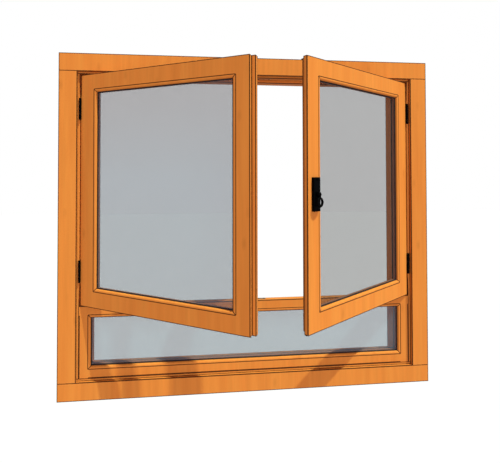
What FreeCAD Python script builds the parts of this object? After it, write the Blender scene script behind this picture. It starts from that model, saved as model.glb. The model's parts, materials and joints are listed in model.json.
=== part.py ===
"""Casement window: casing, fixed frame with a glazed light below the transom, and a pair of
inward-opening sashes on butt hinges.  The right sash closes over the left one and carries a
ring handle that drives two lock rods through a rack and pinion.

Millimetres.  +X right, +Y into the wall, +Z up.  The origin is the centre of the bottom
casing's wall face, so the wall plane is y = 0.  Heights named *_Z are in that frame.
Sash pieces are laid out closed, then turned to the angle at which the window stands open.
In a sash, w runs from the hinge pin towards the meeting edge and d runs back from its face.
"""
import FreeCAD, Part
import math
import os

V = FreeCAD.Vector
LEFT = -1
RIGHT = 1
EDGE_TOLERANCE = 0.01

# Overall size and casing
OVERALL_WIDTH = 1500.0
OVERALL_HEIGHT = 1330.0
CASING_WIDTH = 70.0
CASING_THICKNESS = 16.0
CASING_REBATE = 1.5
CASING_WALL_LAP = 33.0
REVEAL = 8.0

# Fixed frame
FRAME_DEPTH = 80.0
STOP_HEIGHT = 11.0
JAMB_STOP_HEIGHT = 44.0
TRANSOM_HEIGHT = 36.0
TRANSOM_FLAT = 27.0
TRANSOM_FALL = 19.0
FIXED_LIGHT_HEIGHT = 240.0
FIXED_MEMBER_FACE = 35.0
FIXED_GLAZING_REBATE = 32.0
SILL_LEDGE = 6.0
SILL_FALL = 15.0
FRAME_TENON = 25.0
TENON_SETBACK = 10.0
JAMB_TENON_THICKNESS = 16.0
JAMB_TENON_SHOULDER = 11.0
TRANSOM_TENON_THICKNESS = 10.0
TRANSOM_TENON_SHOULDER = 9.0
FIXING_HOLE_RADIUS = 4.0
FIXING_HOLE_SPACING = 700.0
FIXING_HOLE_INSET = 5.0

# Sashes
SASH_THICKNESS = 34.0
SASH_STOP_GAP = 4.0
SASH_HINGE_GAP = 2.0
SASH_TOP_GAP = 5.0
SASH_BOTTOM_GAP = 2.0
SASH_GLAZING_REBATE = 26.0
SASH_STOP_EDGE = 1.0
SASH_STOP_FOOT = 2.0
HINGE_STILE_FACE = 63.0
TOP_RAIL_FACE = 60.5
BOTTOM_RAIL_FACE = 63.5
LEFT_MEETING_FACE = 49.0
RIGHT_MEETING_FACE = 60.5
MEETING_OFFSET = 9.5
MEETING_GAP = 4.0
MEETING_LIP_THICKNESS = 15.0
MEETING_LIP_CLEARANCE = 1.0
MEETING_TONGUE = 15.0
MEETING_REAR_GAP = 8.0
TENON_LENGTH = 35.0
TENON_THICKNESS = 10.0
TENON_DEPTH = 3.5
TENON_SHOULDER = 12.0
LEFT_OPEN_DEG = 29.6
RIGHT_OPEN_DEG = 31.3

# Glazing
BEAD_WIDTH = 9.0
BEAD_DEPTH = 8.0
BEAD_ROUND = 6.0
GASKET_FRONT = 2.5
GASKET_REAR = 1.5
GASKET_SIGHT = 4.0
PANE_THICKNESS = 4.0
GLASS_EDGE_GAP = 3.0
SPACER_INSET = 1.0
SPACER_WIDTH = 8.0
SETTING_BLOCK_LENGTH = 80.0

# Weather seals on the sashes
SEAL_WIDTH = 5.0
SEAL_INSET = 1.0
SEAL_CLEARANCE = 0.4
SILL_SEAL_DEPTH = 6.0
SILL_SEAL_GROOVE = 3.0

# Butt hinges
HINGE_LENGTH = 80.0
HINGE_INSET = 92.0
KNUCKLE_COUNT = 5
KNUCKLE_RADIUS = 4.5
KNUCKLE_GAP = 0.4
PIN_RADIUS = 2.5
PIN_CLEARANCE = 0.05
KNUCKLE_FACE_GAP = 0.5
PIN_HEAD_HEIGHT = 2.0
LEAF_THICKNESS = 2.0
LEAF_DEPTH = 28.0
LEAF_SCREW_COUNT = 3
LEAF_SCREW_STAGGER = 4.0

# Countersunk screws
SCREW_HEAD_RADIUS = 4.0
SCREW_SHANK_RADIUS = 2.0
SCREW_HEAD_HEIGHT = 2.2
SCREW_LENGTH = 22.0

# Handle, gearbox and lock rods
HANDLE_EDGE_DISTANCE = 37.5
PLATE_MARGIN = 0.5
PLATE_HEIGHT = 110.0
PLATE_THICKNESS = 9.5
PLATE_CORNER = 2.5
PLATE_SCREW_INSET = 8.0
HANDLE_GAP = 0.4
BOSS_RADIUS = 8.0
BOSS_LENGTH = 10.5
BOSS_ROUND = 2.0
RING_STANDOFF = 18.5
RING_DROP = 25.0
RING_RADIUS = 13.0
RING_BAR_RADIUS = 4.0
SPINDLE_SIDE = 7.0
SPINDLE_CLEARANCE = 0.4
CASE_SIDE_CLEARANCE = 0.5
CASE_HALF_HEIGHT = 45.0
CASE_DEPTH = 26.0
CASE_WALL = 1.2
COVER_THICKNESS = 1.5
GEAR_MODULE = 1.6
GEAR_TEETH = 10
GEAR_PRESSURE_DEG = 25.0
GEAR_ADDENDUM = 0.8
GEAR_DEDENDUM = 1.0
GEAR_BACKLASH = 0.3
GEAR_FACE = 6.0
GEAR_HUB_RADIUS = 5.9
GEAR_END_PLAY = 1.0
FLANK_STEPS = 6
ROD_DEPTH = 19.0
ROD_RADIUS = 3.0
ROD_BORE_CLEARANCE = 0.5
ROD_REST_DEPTH = 1.0
RACK_BACK = 5.2
RACK_TAIL = 22.0
RACK_LEAD = 30.0
KEEP_LENGTH = 60.0
KEEP_WIDTH = 14.0
KEEP_THICKNESS = 2.5
KEEP_HOLE_CLEARANCE = 1.0
KEEP_POCKET = 12.0
KEEP_SCREW_INSET = 8.0
KEEP_SCREW_LENGTH = 16.0

# Levels and faces worked out from the sizes above
CASING_BOTTOM_Z = -CASING_WALL_LAP / 2
CASING_TOP_Z = CASING_BOTTOM_Z + OVERALL_HEIGHT
FRAME_FACE_Y = -CASING_REBATE
FRAME_BACK_Y = FRAME_FACE_Y + FRAME_DEPTH
STOP_Y = FRAME_FACE_Y + SASH_THICKNESS + SASH_STOP_GAP
CASING_INNER_X = OVERALL_WIDTH / 2 - CASING_WIDTH
FRAME_OUTER_X = OVERALL_WIDTH / 2 - CASING_WALL_LAP
FRAME_INNER_X = CASING_INNER_X - REVEAL
FRAME_BOTTOM_Z = CASING_BOTTOM_Z + CASING_WALL_LAP
FRAME_TOP_Z = CASING_TOP_Z - CASING_WALL_LAP
SILL_TOP_Z = CASING_BOTTOM_Z + CASING_WIDTH + REVEAL
HEAD_UNDER_Z = CASING_TOP_Z - CASING_WIDTH - REVEAL
TRANSOM_BOTTOM_Z = SILL_TOP_Z + FIXED_LIGHT_HEIGHT
TRANSOM_TOP_Z = TRANSOM_BOTTOM_Z + TRANSOM_HEIGHT
SASH_BOTTOM_Z = TRANSOM_TOP_Z + SASH_BOTTOM_GAP
SASH_TOP_Z = HEAD_UNDER_Z - SASH_TOP_GAP
SASH_MIDDLE_Z = (SASH_BOTTOM_Z + SASH_TOP_Z) / 2
SASH_EDGE_W = SASH_HINGE_GAP / 2
PIN_X = FRAME_INNER_X - SASH_HINGE_GAP / 2
PIN_Y = FRAME_FACE_Y - KNUCKLE_RADIUS - KNUCKLE_FACE_GAP
HINGE_LEVELS = {"upper": SASH_TOP_Z - HINGE_INSET - HINGE_LENGTH / 2,
                "lower": SASH_BOTTOM_Z + HINGE_INSET + HINGE_LENGTH / 2}

# Widths of the sashes, measured from their hinge pins
LEFT_FRONT_W = PIN_X + MEETING_OFFSET - MEETING_GAP / 2
LEFT_REAR_W = LEFT_FRONT_W + MEETING_TONGUE
RIGHT_FRONT_W = PIN_X - MEETING_OFFSET - MEETING_GAP / 2
RIGHT_REAR_W = 2 * PIN_X - LEFT_REAR_W - MEETING_REAR_GAP
TONGUE_DEPTH = MEETING_LIP_THICKNESS + MEETING_LIP_CLEARANCE

# Handle and gear centres on the right sash
HANDLE_W = RIGHT_FRONT_W - HANDLE_EDGE_DISTANCE
HANDLE_Z = SASH_MIDDLE_Z
GEAR_RADIUS = GEAR_MODULE * GEAR_TEETH / 2
GEAR_PITCH = math.pi * GEAR_MODULE
RACK_ROOT = GEAR_RADIUS + GEAR_DEDENDUM * GEAR_MODULE
RACK_TIP = GEAR_RADIUS - GEAR_ADDENDUM * GEAR_MODULE
ROD_OFFSET = RACK_ROOT + RACK_BACK - ROD_RADIUS
CASE_HALF_WIDTH = RACK_ROOT + RACK_BACK + CASE_SIDE_CLEARANCE + CASE_WALL
PLATE_WIDTH = 2 * (CASE_HALF_WIDTH + PLATE_MARGIN)
ROD_BORE_RADIUS = ROD_RADIUS + ROD_BORE_CLEARANCE
SPINDLE_HOLE_RADIUS = SPINDLE_SIDE / math.sqrt(2) + SPINDLE_CLEARANCE


# ---------------------------------------------------------------- plain solids

def box(x_pair, y_pair, z_pair):
    """A box between two x, two y and two z values, given in any order."""
    low = V(min(x_pair), min(y_pair), min(z_pair))
    high = V(max(x_pair), max(y_pair), max(z_pair))
    return Part.makeBox(high.x - low.x, high.y - low.y, high.z - low.z, low)


def prism_along_x(points_yz, x_pair):
    """A bar of constant section, its outline given as (y, z) points."""
    start = min(x_pair)
    corners = [V(start, y, z) for y, z in points_yz]
    face = Part.Face(Part.makePolygon(corners + corners[:1]))
    return face.extrude(V(max(x_pair) - start, 0, 0))


def cylinder_between(start, end, radius):
    """A round bar of one radius between two points."""
    axis = end - start
    return Part.makeCylinder(radius, axis.Length, start, axis)


def joined(*shapes):
    """One clean solid from shapes that share faces."""
    return shapes[0].fuse(list(shapes[1:])).removeSplitter()


def group(shapes):
    """Separate solids kept in one node."""
    return Part.makeCompound(list(shapes))


def screw(head, direction, length=SCREW_LENGTH):
    """A countersunk screw: its head's face is centred on head and it points along direction."""
    unit = V(direction).normalize()
    neck = head + unit * SCREW_HEAD_HEIGHT
    cone = Part.makeCone(SCREW_HEAD_RADIUS, SCREW_SHANK_RADIUS, SCREW_HEAD_HEIGHT, head, unit)
    shank = cylinder_between(neck, head + unit * length, SCREW_SHANK_RADIUS)
    return joined(cone, shank)


# ---------------------------------------------------------------- sash placing

def sash_x(side, w):
    """The x of a closed sash's point that lies w from its hinge pin."""
    return side * (PIN_X - w)


def sash_box(side, w_pair, d_pair, z_pair):
    """A box on a closed sash."""
    x_pair = [sash_x(side, w) for w in w_pair]
    y_pair = [FRAME_FACE_Y + d for d in d_pair]
    return box(x_pair, y_pair, z_pair)


def sash_point(side, w, d, z):
    """A point on a closed sash."""
    return V(sash_x(side, w), FRAME_FACE_Y + d, z)


def opened(shape, side):
    """A closed sash piece turned about its hinge pins to the angle it stands at."""
    angle = RIGHT_OPEN_DEG if side == RIGHT else -LEFT_OPEN_DEG
    return shape.rotated(V(side * PIN_X, PIN_Y, 0), V(0, 0, 1), angle)


# ---------------------------------------------------------------- casing

def casing_board(x_pair, z_pair, rebate_x, rebate_z):
    """A casing board, thinned on its back by a rebate where it laps over the frame."""
    board = box(x_pair, (-CASING_THICKNESS, 0), z_pair)
    return board.cut(box(rebate_x, (FRAME_FACE_Y, 0), rebate_z))


def casings():
    """Head and bottom boards run the full width; the side boards stand between them."""
    half = OVERALL_WIDTH / 2
    full = (-half, half)
    bottom_top_z = CASING_BOTTOM_Z + CASING_WIDTH
    head_bottom_z = CASING_TOP_Z - CASING_WIDTH
    between = (bottom_top_z, head_bottom_z)
    bottom_z = (CASING_BOTTOM_Z, bottom_top_z)
    head_z = (head_bottom_z, CASING_TOP_Z)
    nodes = {
        "bottom_casing": casing_board(full, bottom_z, full, (FRAME_BOTTOM_Z, bottom_top_z)),
        "head_casing": casing_board(full, head_z, full, (head_bottom_z, FRAME_TOP_Z)),
    }
    for name, side in (("left_casing", LEFT), ("right_casing", RIGHT)):
        rebate = (side * CASING_INNER_X, side * FRAME_OUTER_X)
        nodes[name] = casing_board((side * CASING_INNER_X, side * half), between, rebate, between)
    return nodes


# ---------------------------------------------------------------- fixed frame

def jamb_tenon(side, z_pair):
    """The stub tenon on one end of a jamb, let into the head or the sill."""
    x_pair = (side * (FRAME_INNER_X + JAMB_TENON_SHOULDER),
              side * (FRAME_OUTER_X - JAMB_TENON_SHOULDER))
    start_y = FRAME_FACE_Y + TENON_SETBACK
    y_pair = (start_y, start_y + JAMB_TENON_THICKNESS)
    return box(x_pair, y_pair, z_pair)


def transom_tenon(side):
    """The stub tenon on one end of the transom, let into a jamb."""
    x_pair = (side * FRAME_INNER_X, side * (FRAME_INNER_X + FRAME_TENON))
    start_y = FRAME_FACE_Y + TENON_SETBACK
    y_pair = (start_y, start_y + TRANSOM_TENON_THICKNESS)
    z_pair = (TRANSOM_BOTTOM_Z + TRANSOM_TENON_SHOULDER, TRANSOM_TOP_Z - TRANSOM_TENON_SHOULDER)
    return box(x_pair, y_pair, z_pair)


def transom_bar():
    """The transom: level under the sashes, then falling outwards, and rebated for glass below."""
    rebate_y = FRAME_FACE_Y + FIXED_GLAZING_REBATE
    outline = [
        (FRAME_FACE_Y, TRANSOM_BOTTOM_Z),
        (FRAME_FACE_Y, TRANSOM_TOP_Z),
        (FRAME_FACE_Y + TRANSOM_FLAT, TRANSOM_TOP_Z),
        (FRAME_BACK_Y, TRANSOM_TOP_Z - TRANSOM_FALL),
        (FRAME_BACK_Y, TRANSOM_BOTTOM_Z - BEAD_WIDTH),
        (rebate_y, TRANSOM_BOTTOM_Z - BEAD_WIDTH),
        (rebate_y, TRANSOM_BOTTOM_Z),
    ]
    bar = prism_along_x(outline, (-FRAME_INNER_X, FRAME_INNER_X))
    return joined(bar, transom_tenon(LEFT), transom_tenon(RIGHT))


def fixing_holes(side):
    """The two holes through a jamb for the screws that hold the frame in the wall."""
    y = STOP_Y - FIXING_HOLE_INSET
    for step in (-0.5, 0.5):
        z = SASH_MIDDLE_Z + step * FIXING_HOLE_SPACING
        start = V(side * FRAME_INNER_X, y, z)
        yield cylinder_between(start, V(side * FRAME_OUTER_X, y, z), FIXING_HOLE_RADIUS)


def jamb(side, transom):
    """A jamb with a broad sash stop on its back half and a stub tenon at each end."""
    y_pair = (FRAME_FACE_Y, FRAME_BACK_Y)
    post = box((side * FRAME_INNER_X, side * FRAME_OUTER_X), y_pair, (SILL_TOP_Z, HEAD_UNDER_Z))
    stop_x = (side * (FRAME_INNER_X - JAMB_STOP_HEIGHT), side * FRAME_INNER_X)
    stop_z = (TRANSOM_BOTTOM_Z, HEAD_UNDER_Z - STOP_HEIGHT)
    stop = box(stop_x, (STOP_Y, FRAME_BACK_Y), stop_z)
    top_tenon = jamb_tenon(side, (HEAD_UNDER_Z, HEAD_UNDER_Z + FRAME_TENON))
    low_tenon = jamb_tenon(side, (SILL_TOP_Z - FRAME_TENON, SILL_TOP_Z))
    whole = joined(post, stop, top_tenon, low_tenon)
    return whole.cut([transom] + list(fixing_holes(side)))


def fixed_stile(side, transom):
    """An upright of the fixed light, between the sill and the transom."""
    y_pair = (FRAME_FACE_Y, FRAME_BACK_Y)
    z_pair = (SILL_TOP_Z, TRANSOM_BOTTOM_Z)
    wall_x = FRAME_INNER_X - FIXED_MEMBER_FACE
    body = box((side * wall_x, side * FRAME_INNER_X), y_pair, z_pair)
    stop_y = (FRAME_FACE_Y + FIXED_GLAZING_REBATE, FRAME_BACK_Y)
    stop = box((side * (wall_x - BEAD_WIDTH), side * wall_x), stop_y, z_pair)
    return joined(body, stop).cut(transom)


def fixed_rail(stiles):
    """The bottom rail of the fixed light, its outer ledge falling outwards."""
    wall_z = SILL_TOP_Z + FIXED_MEMBER_FACE
    stop_z = wall_z + BEAD_WIDTH
    rebate_y = FRAME_FACE_Y + FIXED_GLAZING_REBATE
    outline = [
        (FRAME_FACE_Y, SILL_TOP_Z),
        (FRAME_FACE_Y, wall_z),
        (rebate_y, wall_z),
        (rebate_y, stop_z),
        (rebate_y + SILL_LEDGE, stop_z),
        (FRAME_BACK_Y, stop_z - SILL_FALL),
        (FRAME_BACK_Y, SILL_TOP_Z),
    ]
    half = FRAME_INNER_X - FIXED_MEMBER_FACE
    return prism_along_x(outline, (-half, half)).cut(stiles)


def fixed_frame():
    """Head, sill, jambs, transom and the members of the fixed light."""
    transom = transom_bar()
    jambs = {side: jamb(side, transom) for side in (LEFT, RIGHT)}
    stiles = {side: fixed_stile(side, transom) for side in (LEFT, RIGHT)}
    width = (-FRAME_OUTER_X, FRAME_OUTER_X)
    depth = (FRAME_FACE_Y, FRAME_BACK_Y)
    sill = box(width, depth, (FRAME_BOTTOM_Z, SILL_TOP_Z)).cut(list(jambs.values()))
    head = box(width, depth, (HEAD_UNDER_Z, FRAME_TOP_Z))
    stop_z = (HEAD_UNDER_Z - STOP_HEIGHT, HEAD_UNDER_Z)
    head_stop = box((-FRAME_INNER_X, FRAME_INNER_X), (STOP_Y, FRAME_BACK_Y), stop_z)
    return {
        "frame_head": joined(head, head_stop).cut(list(jambs.values())),
        "frame_sill": sill,
        "left_jamb": jambs[LEFT],
        "right_jamb": jambs[RIGHT],
        "transom": transom,
        "fixed_left_stile": stiles[LEFT],
        "fixed_right_stile": stiles[RIGHT],
        "fixed_bottom_rail": fixed_rail(list(stiles.values())),
    }


# ---------------------------------------------------------------- glazing

def bead_section(place):
    """The bead's section: square at the rebate, rounded over at the front towards the glass."""
    flat = BEAD_WIDTH - BEAD_ROUND
    lean = BEAD_ROUND * (1 - math.sqrt(0.5))
    corner = place(0, 0)
    round_start = place(flat, 0)
    round_middle = place(BEAD_WIDTH - lean, lean)
    round_end = place(BEAD_WIDTH, BEAD_ROUND)
    inner = place(BEAD_WIDTH, BEAD_DEPTH)
    back = place(0, BEAD_DEPTH)
    edges = [
        Part.LineSegment(corner, round_start).toShape(),
        Part.Arc(round_start, round_middle, round_end).toShape(),
        Part.LineSegment(round_end, inner).toShape(),
        Part.LineSegment(inner, back).toShape(),
        Part.LineSegment(back, corner).toShape(),
    ]
    return Part.Face(Part.Wire(edges))


def glazing_beads(x_pair, z_pair, face_y):
    """Four beads, mitred at the corners of a rebate between the given x and z values."""
    outer = [V(x_pair[0], 0, z_pair[0]), V(x_pair[1], 0, z_pair[0]),
             V(x_pair[1], 0, z_pair[1]), V(x_pair[0], 0, z_pair[1])]
    inward = [V(0, 0, 1), V(-1, 0, 0), V(0, 0, -1), V(1, 0, 0)]
    beads = []
    for index, start in enumerate(outer):
        end = outer[(index + 1) % 4]
        before = inward[index - 1]
        after = inward[(index + 1) % 4]
        across = inward[index]
        section = bead_section(lambda a, d: start + across * a + V(0, face_y + d, 0))
        bar = section.extrude(end - start)
        corners = [start, end, end + (across + after) * BEAD_WIDTH,
                   start + (across + before) * BEAD_WIDTH]
        corners = [point + V(0, face_y, 0) for point in corners]
        mitre = Part.Face(Part.makePolygon(corners + corners[:1])).extrude(V(0, BEAD_DEPTH, 0))
        beads.append(bar.common(mitre))
    return group(beads)


def inset_ring(x_pair, z_pair, y_pair, outer_inset, width):
    """A rectangular ring: its outside is outer_inset within the given limits."""
    inner_inset = outer_inset + width
    outside = box((x_pair[0] + outer_inset, x_pair[1] - outer_inset), y_pair,
                  (z_pair[0] + outer_inset, z_pair[1] - outer_inset))
    inside = box((x_pair[0] + inner_inset, x_pair[1] - inner_inset), y_pair,
                 (z_pair[0] + inner_inset, z_pair[1] - inner_inset))
    return outside.cut(inside)


def glazing(prefix, x_pair, z_pair, rebate_depth):
    """Everything in one glazing rebate: beads, gaskets, two panes, spacer and setting blocks."""
    x_pair = sorted(x_pair)
    face_y = FRAME_FACE_Y
    glass_front = face_y + BEAD_DEPTH + GASKET_FRONT
    glass_back = face_y + rebate_depth - GASKET_REAR
    inner_front = glass_front + PANE_THICKNESS
    inner_back = glass_back - PANE_THICKNESS
    front_y = (glass_front - GASKET_FRONT, glass_front)
    rear_y = (glass_back, glass_back + GASKET_REAR)
    glass_x = (x_pair[0] + GLASS_EDGE_GAP, x_pair[1] - GLASS_EDGE_GAP)
    glass_z = (z_pair[0] + GLASS_EDGE_GAP, z_pair[1] - GLASS_EDGE_GAP)
    panes = [box(glass_x, (glass_front, inner_front), glass_z),
             box(glass_x, (inner_back, glass_back), glass_z)]
    block_half = SETTING_BLOCK_LENGTH / 2
    quarter = (x_pair[1] - x_pair[0]) / 4
    blocks = [box((centre - block_half, centre + block_half), (glass_front, glass_back),
                  (z_pair[0], glass_z[0]))
              for centre in (x_pair[0] + quarter, x_pair[1] - quarter)]
    spacer_inset = GLASS_EDGE_GAP + SPACER_INSET
    return {
        prefix + "_glazing_beads": glazing_beads(x_pair, z_pair, face_y),
        prefix + "_gaskets": group([
            inset_ring(x_pair, z_pair, front_y, 0, BEAD_WIDTH + GASKET_SIGHT),
            inset_ring(x_pair, z_pair, rear_y, 0, BEAD_WIDTH)]),
        prefix + "_panes": group(panes),
        prefix + "_spacer": inset_ring(x_pair, z_pair, (inner_front, inner_back),
                                       spacer_inset, SPACER_WIDTH),
        prefix + "_setting_blocks": group(blocks),
    }


def fixed_glazing():
    """The glazing of the light below the transom."""
    half = FRAME_INNER_X - FIXED_MEMBER_FACE
    z_pair = (SILL_TOP_Z + FIXED_MEMBER_FACE, TRANSOM_BOTTOM_Z)
    return glazing("fixed", (-half, half), z_pair, FIXED_GLAZING_REBATE)


# ---------------------------------------------------------------- sashes

def sash_widths(side):
    """Front and rear width of a sash, and where its two glazing rebate walls stand."""
    if side == LEFT:
        front, rear, face = LEFT_FRONT_W, LEFT_REAR_W, LEFT_MEETING_FACE
    else:
        front, rear, face = RIGHT_FRONT_W, RIGHT_REAR_W, RIGHT_MEETING_FACE
    return front, rear, SASH_EDGE_W + HINGE_STILE_FACE, front - face


def rail_levels():
    """Bottom and top of the glazing rebate in both sashes."""
    return SASH_BOTTOM_Z + BOTTOM_RAIL_FACE, SASH_TOP_Z - TOP_RAIL_FACE


def rail_tenon(side, wall_w, outward, z_pair):
    """A rail's tenon, running from a stile's rebate wall into the stile."""
    w_pair = (wall_w, wall_w + outward * TENON_LENGTH)
    z_pair = (z_pair[0] + TENON_SHOULDER, z_pair[1] - TENON_SHOULDER)
    return sash_box(side, w_pair, (TENON_DEPTH, TENON_DEPTH + TENON_THICKNESS), z_pair)


def glass_stop(side, wall, edge, run, is_level=False):
    """The stop behind the glass, from the rebate wall to its edge and splayed on the outside.
    It runs up the sash between two z values, or along it between two w values."""
    foot = wall + math.copysign(SASH_STOP_FOOT, edge - wall)
    outline = [(wall, SASH_GLAZING_REBATE), (edge, SASH_GLAZING_REBATE),
               (edge, SASH_GLAZING_REBATE + SASH_STOP_EDGE), (foot, SASH_THICKNESS),
               (wall, SASH_THICKNESS)]
    if is_level:
        corners = [sash_point(side, run[0], d, across) for across, d in outline]
        path = sash_point(side, run[1], 0, 0) - sash_point(side, run[0], 0, 0)
    else:
        corners = [sash_point(side, across, d, run[0]) for across, d in outline]
        path = V(0, 0, run[1] - run[0])
    return Part.Face(Part.makePolygon(corners + corners[:1])).extrude(path)


def hinge_stile(side, wall_w):
    """The stile that carries the hinges."""
    z_pair = (SASH_BOTTOM_Z, SASH_TOP_Z)
    body = sash_box(side, (SASH_EDGE_W, wall_w), (0, SASH_THICKNESS), z_pair)
    stop = glass_stop(side, wall_w, wall_w + BEAD_WIDTH, z_pair)
    return joined(body, stop)


def meeting_stile(side, front_w, rear_w, wall_w):
    """The stile at the meeting edge: a rear tongue on the left, a front lip on the right."""
    z_pair = (SASH_BOTTOM_Z, SASH_TOP_Z)
    split = TONGUE_DEPTH if side == LEFT else MEETING_LIP_THICKNESS
    front = sash_box(side, (wall_w, front_w), (0, split), z_pair)
    rear = sash_box(side, (wall_w, rear_w), (split, SASH_THICKNESS), z_pair)
    stop = glass_stop(side, wall_w, wall_w - BEAD_WIDTH, z_pair)
    return joined(front, rear, stop)


def sash_rail(side, wall_pair, z_pair, stop_pair, stiles):
    """A rail between the stiles, with a tenon at each end and the glazing stop behind."""
    tenons = [rail_tenon(side, wall_pair[0], -1, z_pair), rail_tenon(side, wall_pair[1], 1, z_pair)]
    body = sash_box(side, wall_pair, (0, SASH_THICKNESS), z_pair)
    stop = glass_stop(side, stop_pair[0], stop_pair[1], wall_pair, is_level=True)
    scribed = joined(body, stop).cut(stiles)
    return joined(scribed, *tenons), tenons


def sash_seals(side, front_w, rear_w):
    """Strips on the back against the stops, and one in a groove under the bottom rail."""
    back = (SASH_THICKNESS, SASH_THICKNESS + SASH_STOP_GAP - SEAL_CLEARANCE)
    edge_w = SASH_EDGE_W + SEAL_INSET
    top_z = SASH_TOP_Z - SEAL_INSET
    hinge_side = sash_box(side, (edge_w, edge_w + SEAL_WIDTH), back, (SASH_BOTTOM_Z, top_z))
    top_side = sash_box(side, (edge_w + SEAL_WIDTH, rear_w), back, (top_z - SEAL_WIDTH, top_z))
    sill_side = sash_box(side, (edge_w, front_w), (SILL_SEAL_DEPTH, SILL_SEAL_DEPTH + SEAL_WIDTH),
                         (TRANSOM_TOP_Z + SEAL_CLEARANCE, SASH_BOTTOM_Z + SILL_SEAL_GROOVE))
    return [hinge_side, top_side, sill_side]


def sash(prefix, side, cutters):
    """All timber, glazing and seals of one sash, with the hardware's recesses cut out."""
    front_w, rear_w, hinge_wall, meeting_wall = sash_widths(side)
    low_z, high_z = rail_levels()
    blank_stiles = [hinge_stile(side, hinge_wall),
                    meeting_stile(side, front_w, rear_w, meeting_wall)]
    walls = (hinge_wall, meeting_wall)
    top, top_tenons = sash_rail(side, walls, (high_z, SASH_TOP_Z),
                                (high_z, high_z - BEAD_WIDTH), blank_stiles)
    bottom, low_tenons = sash_rail(side, walls, (SASH_BOTTOM_Z, low_z),
                                   (low_z, low_z + BEAD_WIDTH), blank_stiles)
    seals = sash_seals(side, front_w, rear_w)
    stile_cuts = top_tenons + low_tenons + seals + cutters
    nodes = {
        prefix + "_hinge_stile": blank_stiles[0].cut(stile_cuts),
        prefix + "_meeting_stile": blank_stiles[1].cut(stile_cuts),
        prefix + "_top_rail": top.cut(cutters),
        prefix + "_bottom_rail": bottom.cut(seals + cutters),
        prefix + "_weather_seals": group(seals),
    }
    wall_x = [sash_x(side, w) for w in walls]
    nodes.update(glazing(prefix, wall_x, (low_z, high_z), SASH_GLAZING_REBATE))
    return nodes


# ---------------------------------------------------------------- hinges

def knuckle(side, middle_z, index, bore):
    """One knuckle of a hinge, bored for the pin."""
    pitch = HINGE_LENGTH / KNUCKLE_COUNT
    low = middle_z - HINGE_LENGTH / 2 + index * pitch + KNUCKLE_GAP / 2
    start = V(side * PIN_X, PIN_Y, low)
    end = start + V(0, 0, pitch - KNUCKLE_GAP)
    return cylinder_between(start, end, KNUCKLE_RADIUS), cylinder_between(start, end, bore)


def hinge_leaf(side, middle_z, x_pair, first, bore):
    """A leaf let into the timber, with every second knuckle from first and its screw holes."""
    z_pair = (middle_z - HINGE_LENGTH / 2, middle_z + HINGE_LENGTH / 2)
    solids = [box(x_pair, (FRAME_FACE_Y, FRAME_FACE_Y + LEAF_DEPTH), z_pair)]
    bores = []
    for index in range(first, KNUCKLE_COUNT, 2):
        barrel, hole = knuckle(side, middle_z, index, bore)
        neck_z = (barrel.BoundBox.ZMin, barrel.BoundBox.ZMax)
        solids += [barrel, box(x_pair, (PIN_Y, FRAME_FACE_Y), neck_z)]
        bores.append(hole)
    return joined(*solids).cut(bores)


def leaf_screws(face_x, direction, middle_z):
    """The screws of one leaf, staggered about its middle."""
    middle_y = FRAME_FACE_Y + LEAF_DEPTH / 2
    pitch = HINGE_LENGTH / LEAF_SCREW_COUNT
    for index in range(LEAF_SCREW_COUNT):
        stagger = LEAF_SCREW_STAGGER * (-1) ** index
        z = middle_z + (index - (LEAF_SCREW_COUNT - 1) / 2) * pitch
        yield screw(V(face_x, middle_y + stagger, z), V(direction, 0, 0))


def hinge_pin(side, middle_z):
    """A pin held in the frame's knuckles, with a flat head at each end."""
    half = HINGE_LENGTH / 2
    low = V(side * PIN_X, PIN_Y, middle_z - half)
    high = V(side * PIN_X, PIN_Y, middle_z + half)
    lift = V(0, 0, PIN_HEAD_HEIGHT)
    shank = cylinder_between(low, high, PIN_RADIUS)
    heads = [cylinder_between(low - lift, low, KNUCKLE_RADIUS),
             cylinder_between(high, high + lift, KNUCKLE_RADIUS)]
    return joined(shank, *heads)


def hinges():
    """Leaves, pins and screws: two hinges on each sash."""
    frame_nodes, sash_nodes = {}, {LEFT: {}, RIGHT: {}}
    pins, frame_screws, sash_screws = [], [], {LEFT: [], RIGHT: []}
    for prefix, side in (("left", LEFT), ("right", RIGHT)):
        jamb_x = side * FRAME_INNER_X
        edge_x = sash_x(side, SASH_EDGE_W)
        jamb_leaf_x = (jamb_x, jamb_x + side * LEAF_THICKNESS)
        edge_leaf_x = (edge_x, edge_x - side * LEAF_THICKNESS)
        for level, middle_z in HINGE_LEVELS.items():
            fixed = hinge_leaf(side, middle_z, jamb_leaf_x, 0, PIN_RADIUS)
            moving = hinge_leaf(side, middle_z, edge_leaf_x, 1, PIN_RADIUS + PIN_CLEARANCE)
            jamb_screws = list(leaf_screws(jamb_x, side, middle_z))
            edge_screws = list(leaf_screws(edge_x, -side, middle_z))
            name = prefix + "_" + level
            frame_nodes[name + "_frame_leaf"] = fixed.cut(jamb_screws)
            sash_nodes[side][name + "_sash_leaf"] = moving.cut(edge_screws)
            pins.append(hinge_pin(side, middle_z))
            frame_screws += jamb_screws
            sash_screws[side] += edge_screws
    return frame_nodes, sash_nodes, pins, frame_screws, sash_screws


# ---------------------------------------------------------------- handle and lock

def handle_point(d, across=0.0, rise=0.0):
    """A point by the handle's axis: d from the sash face, across towards the hinges."""
    return sash_point(RIGHT, HANDLE_W - across, d, HANDLE_Z + rise)


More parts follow.
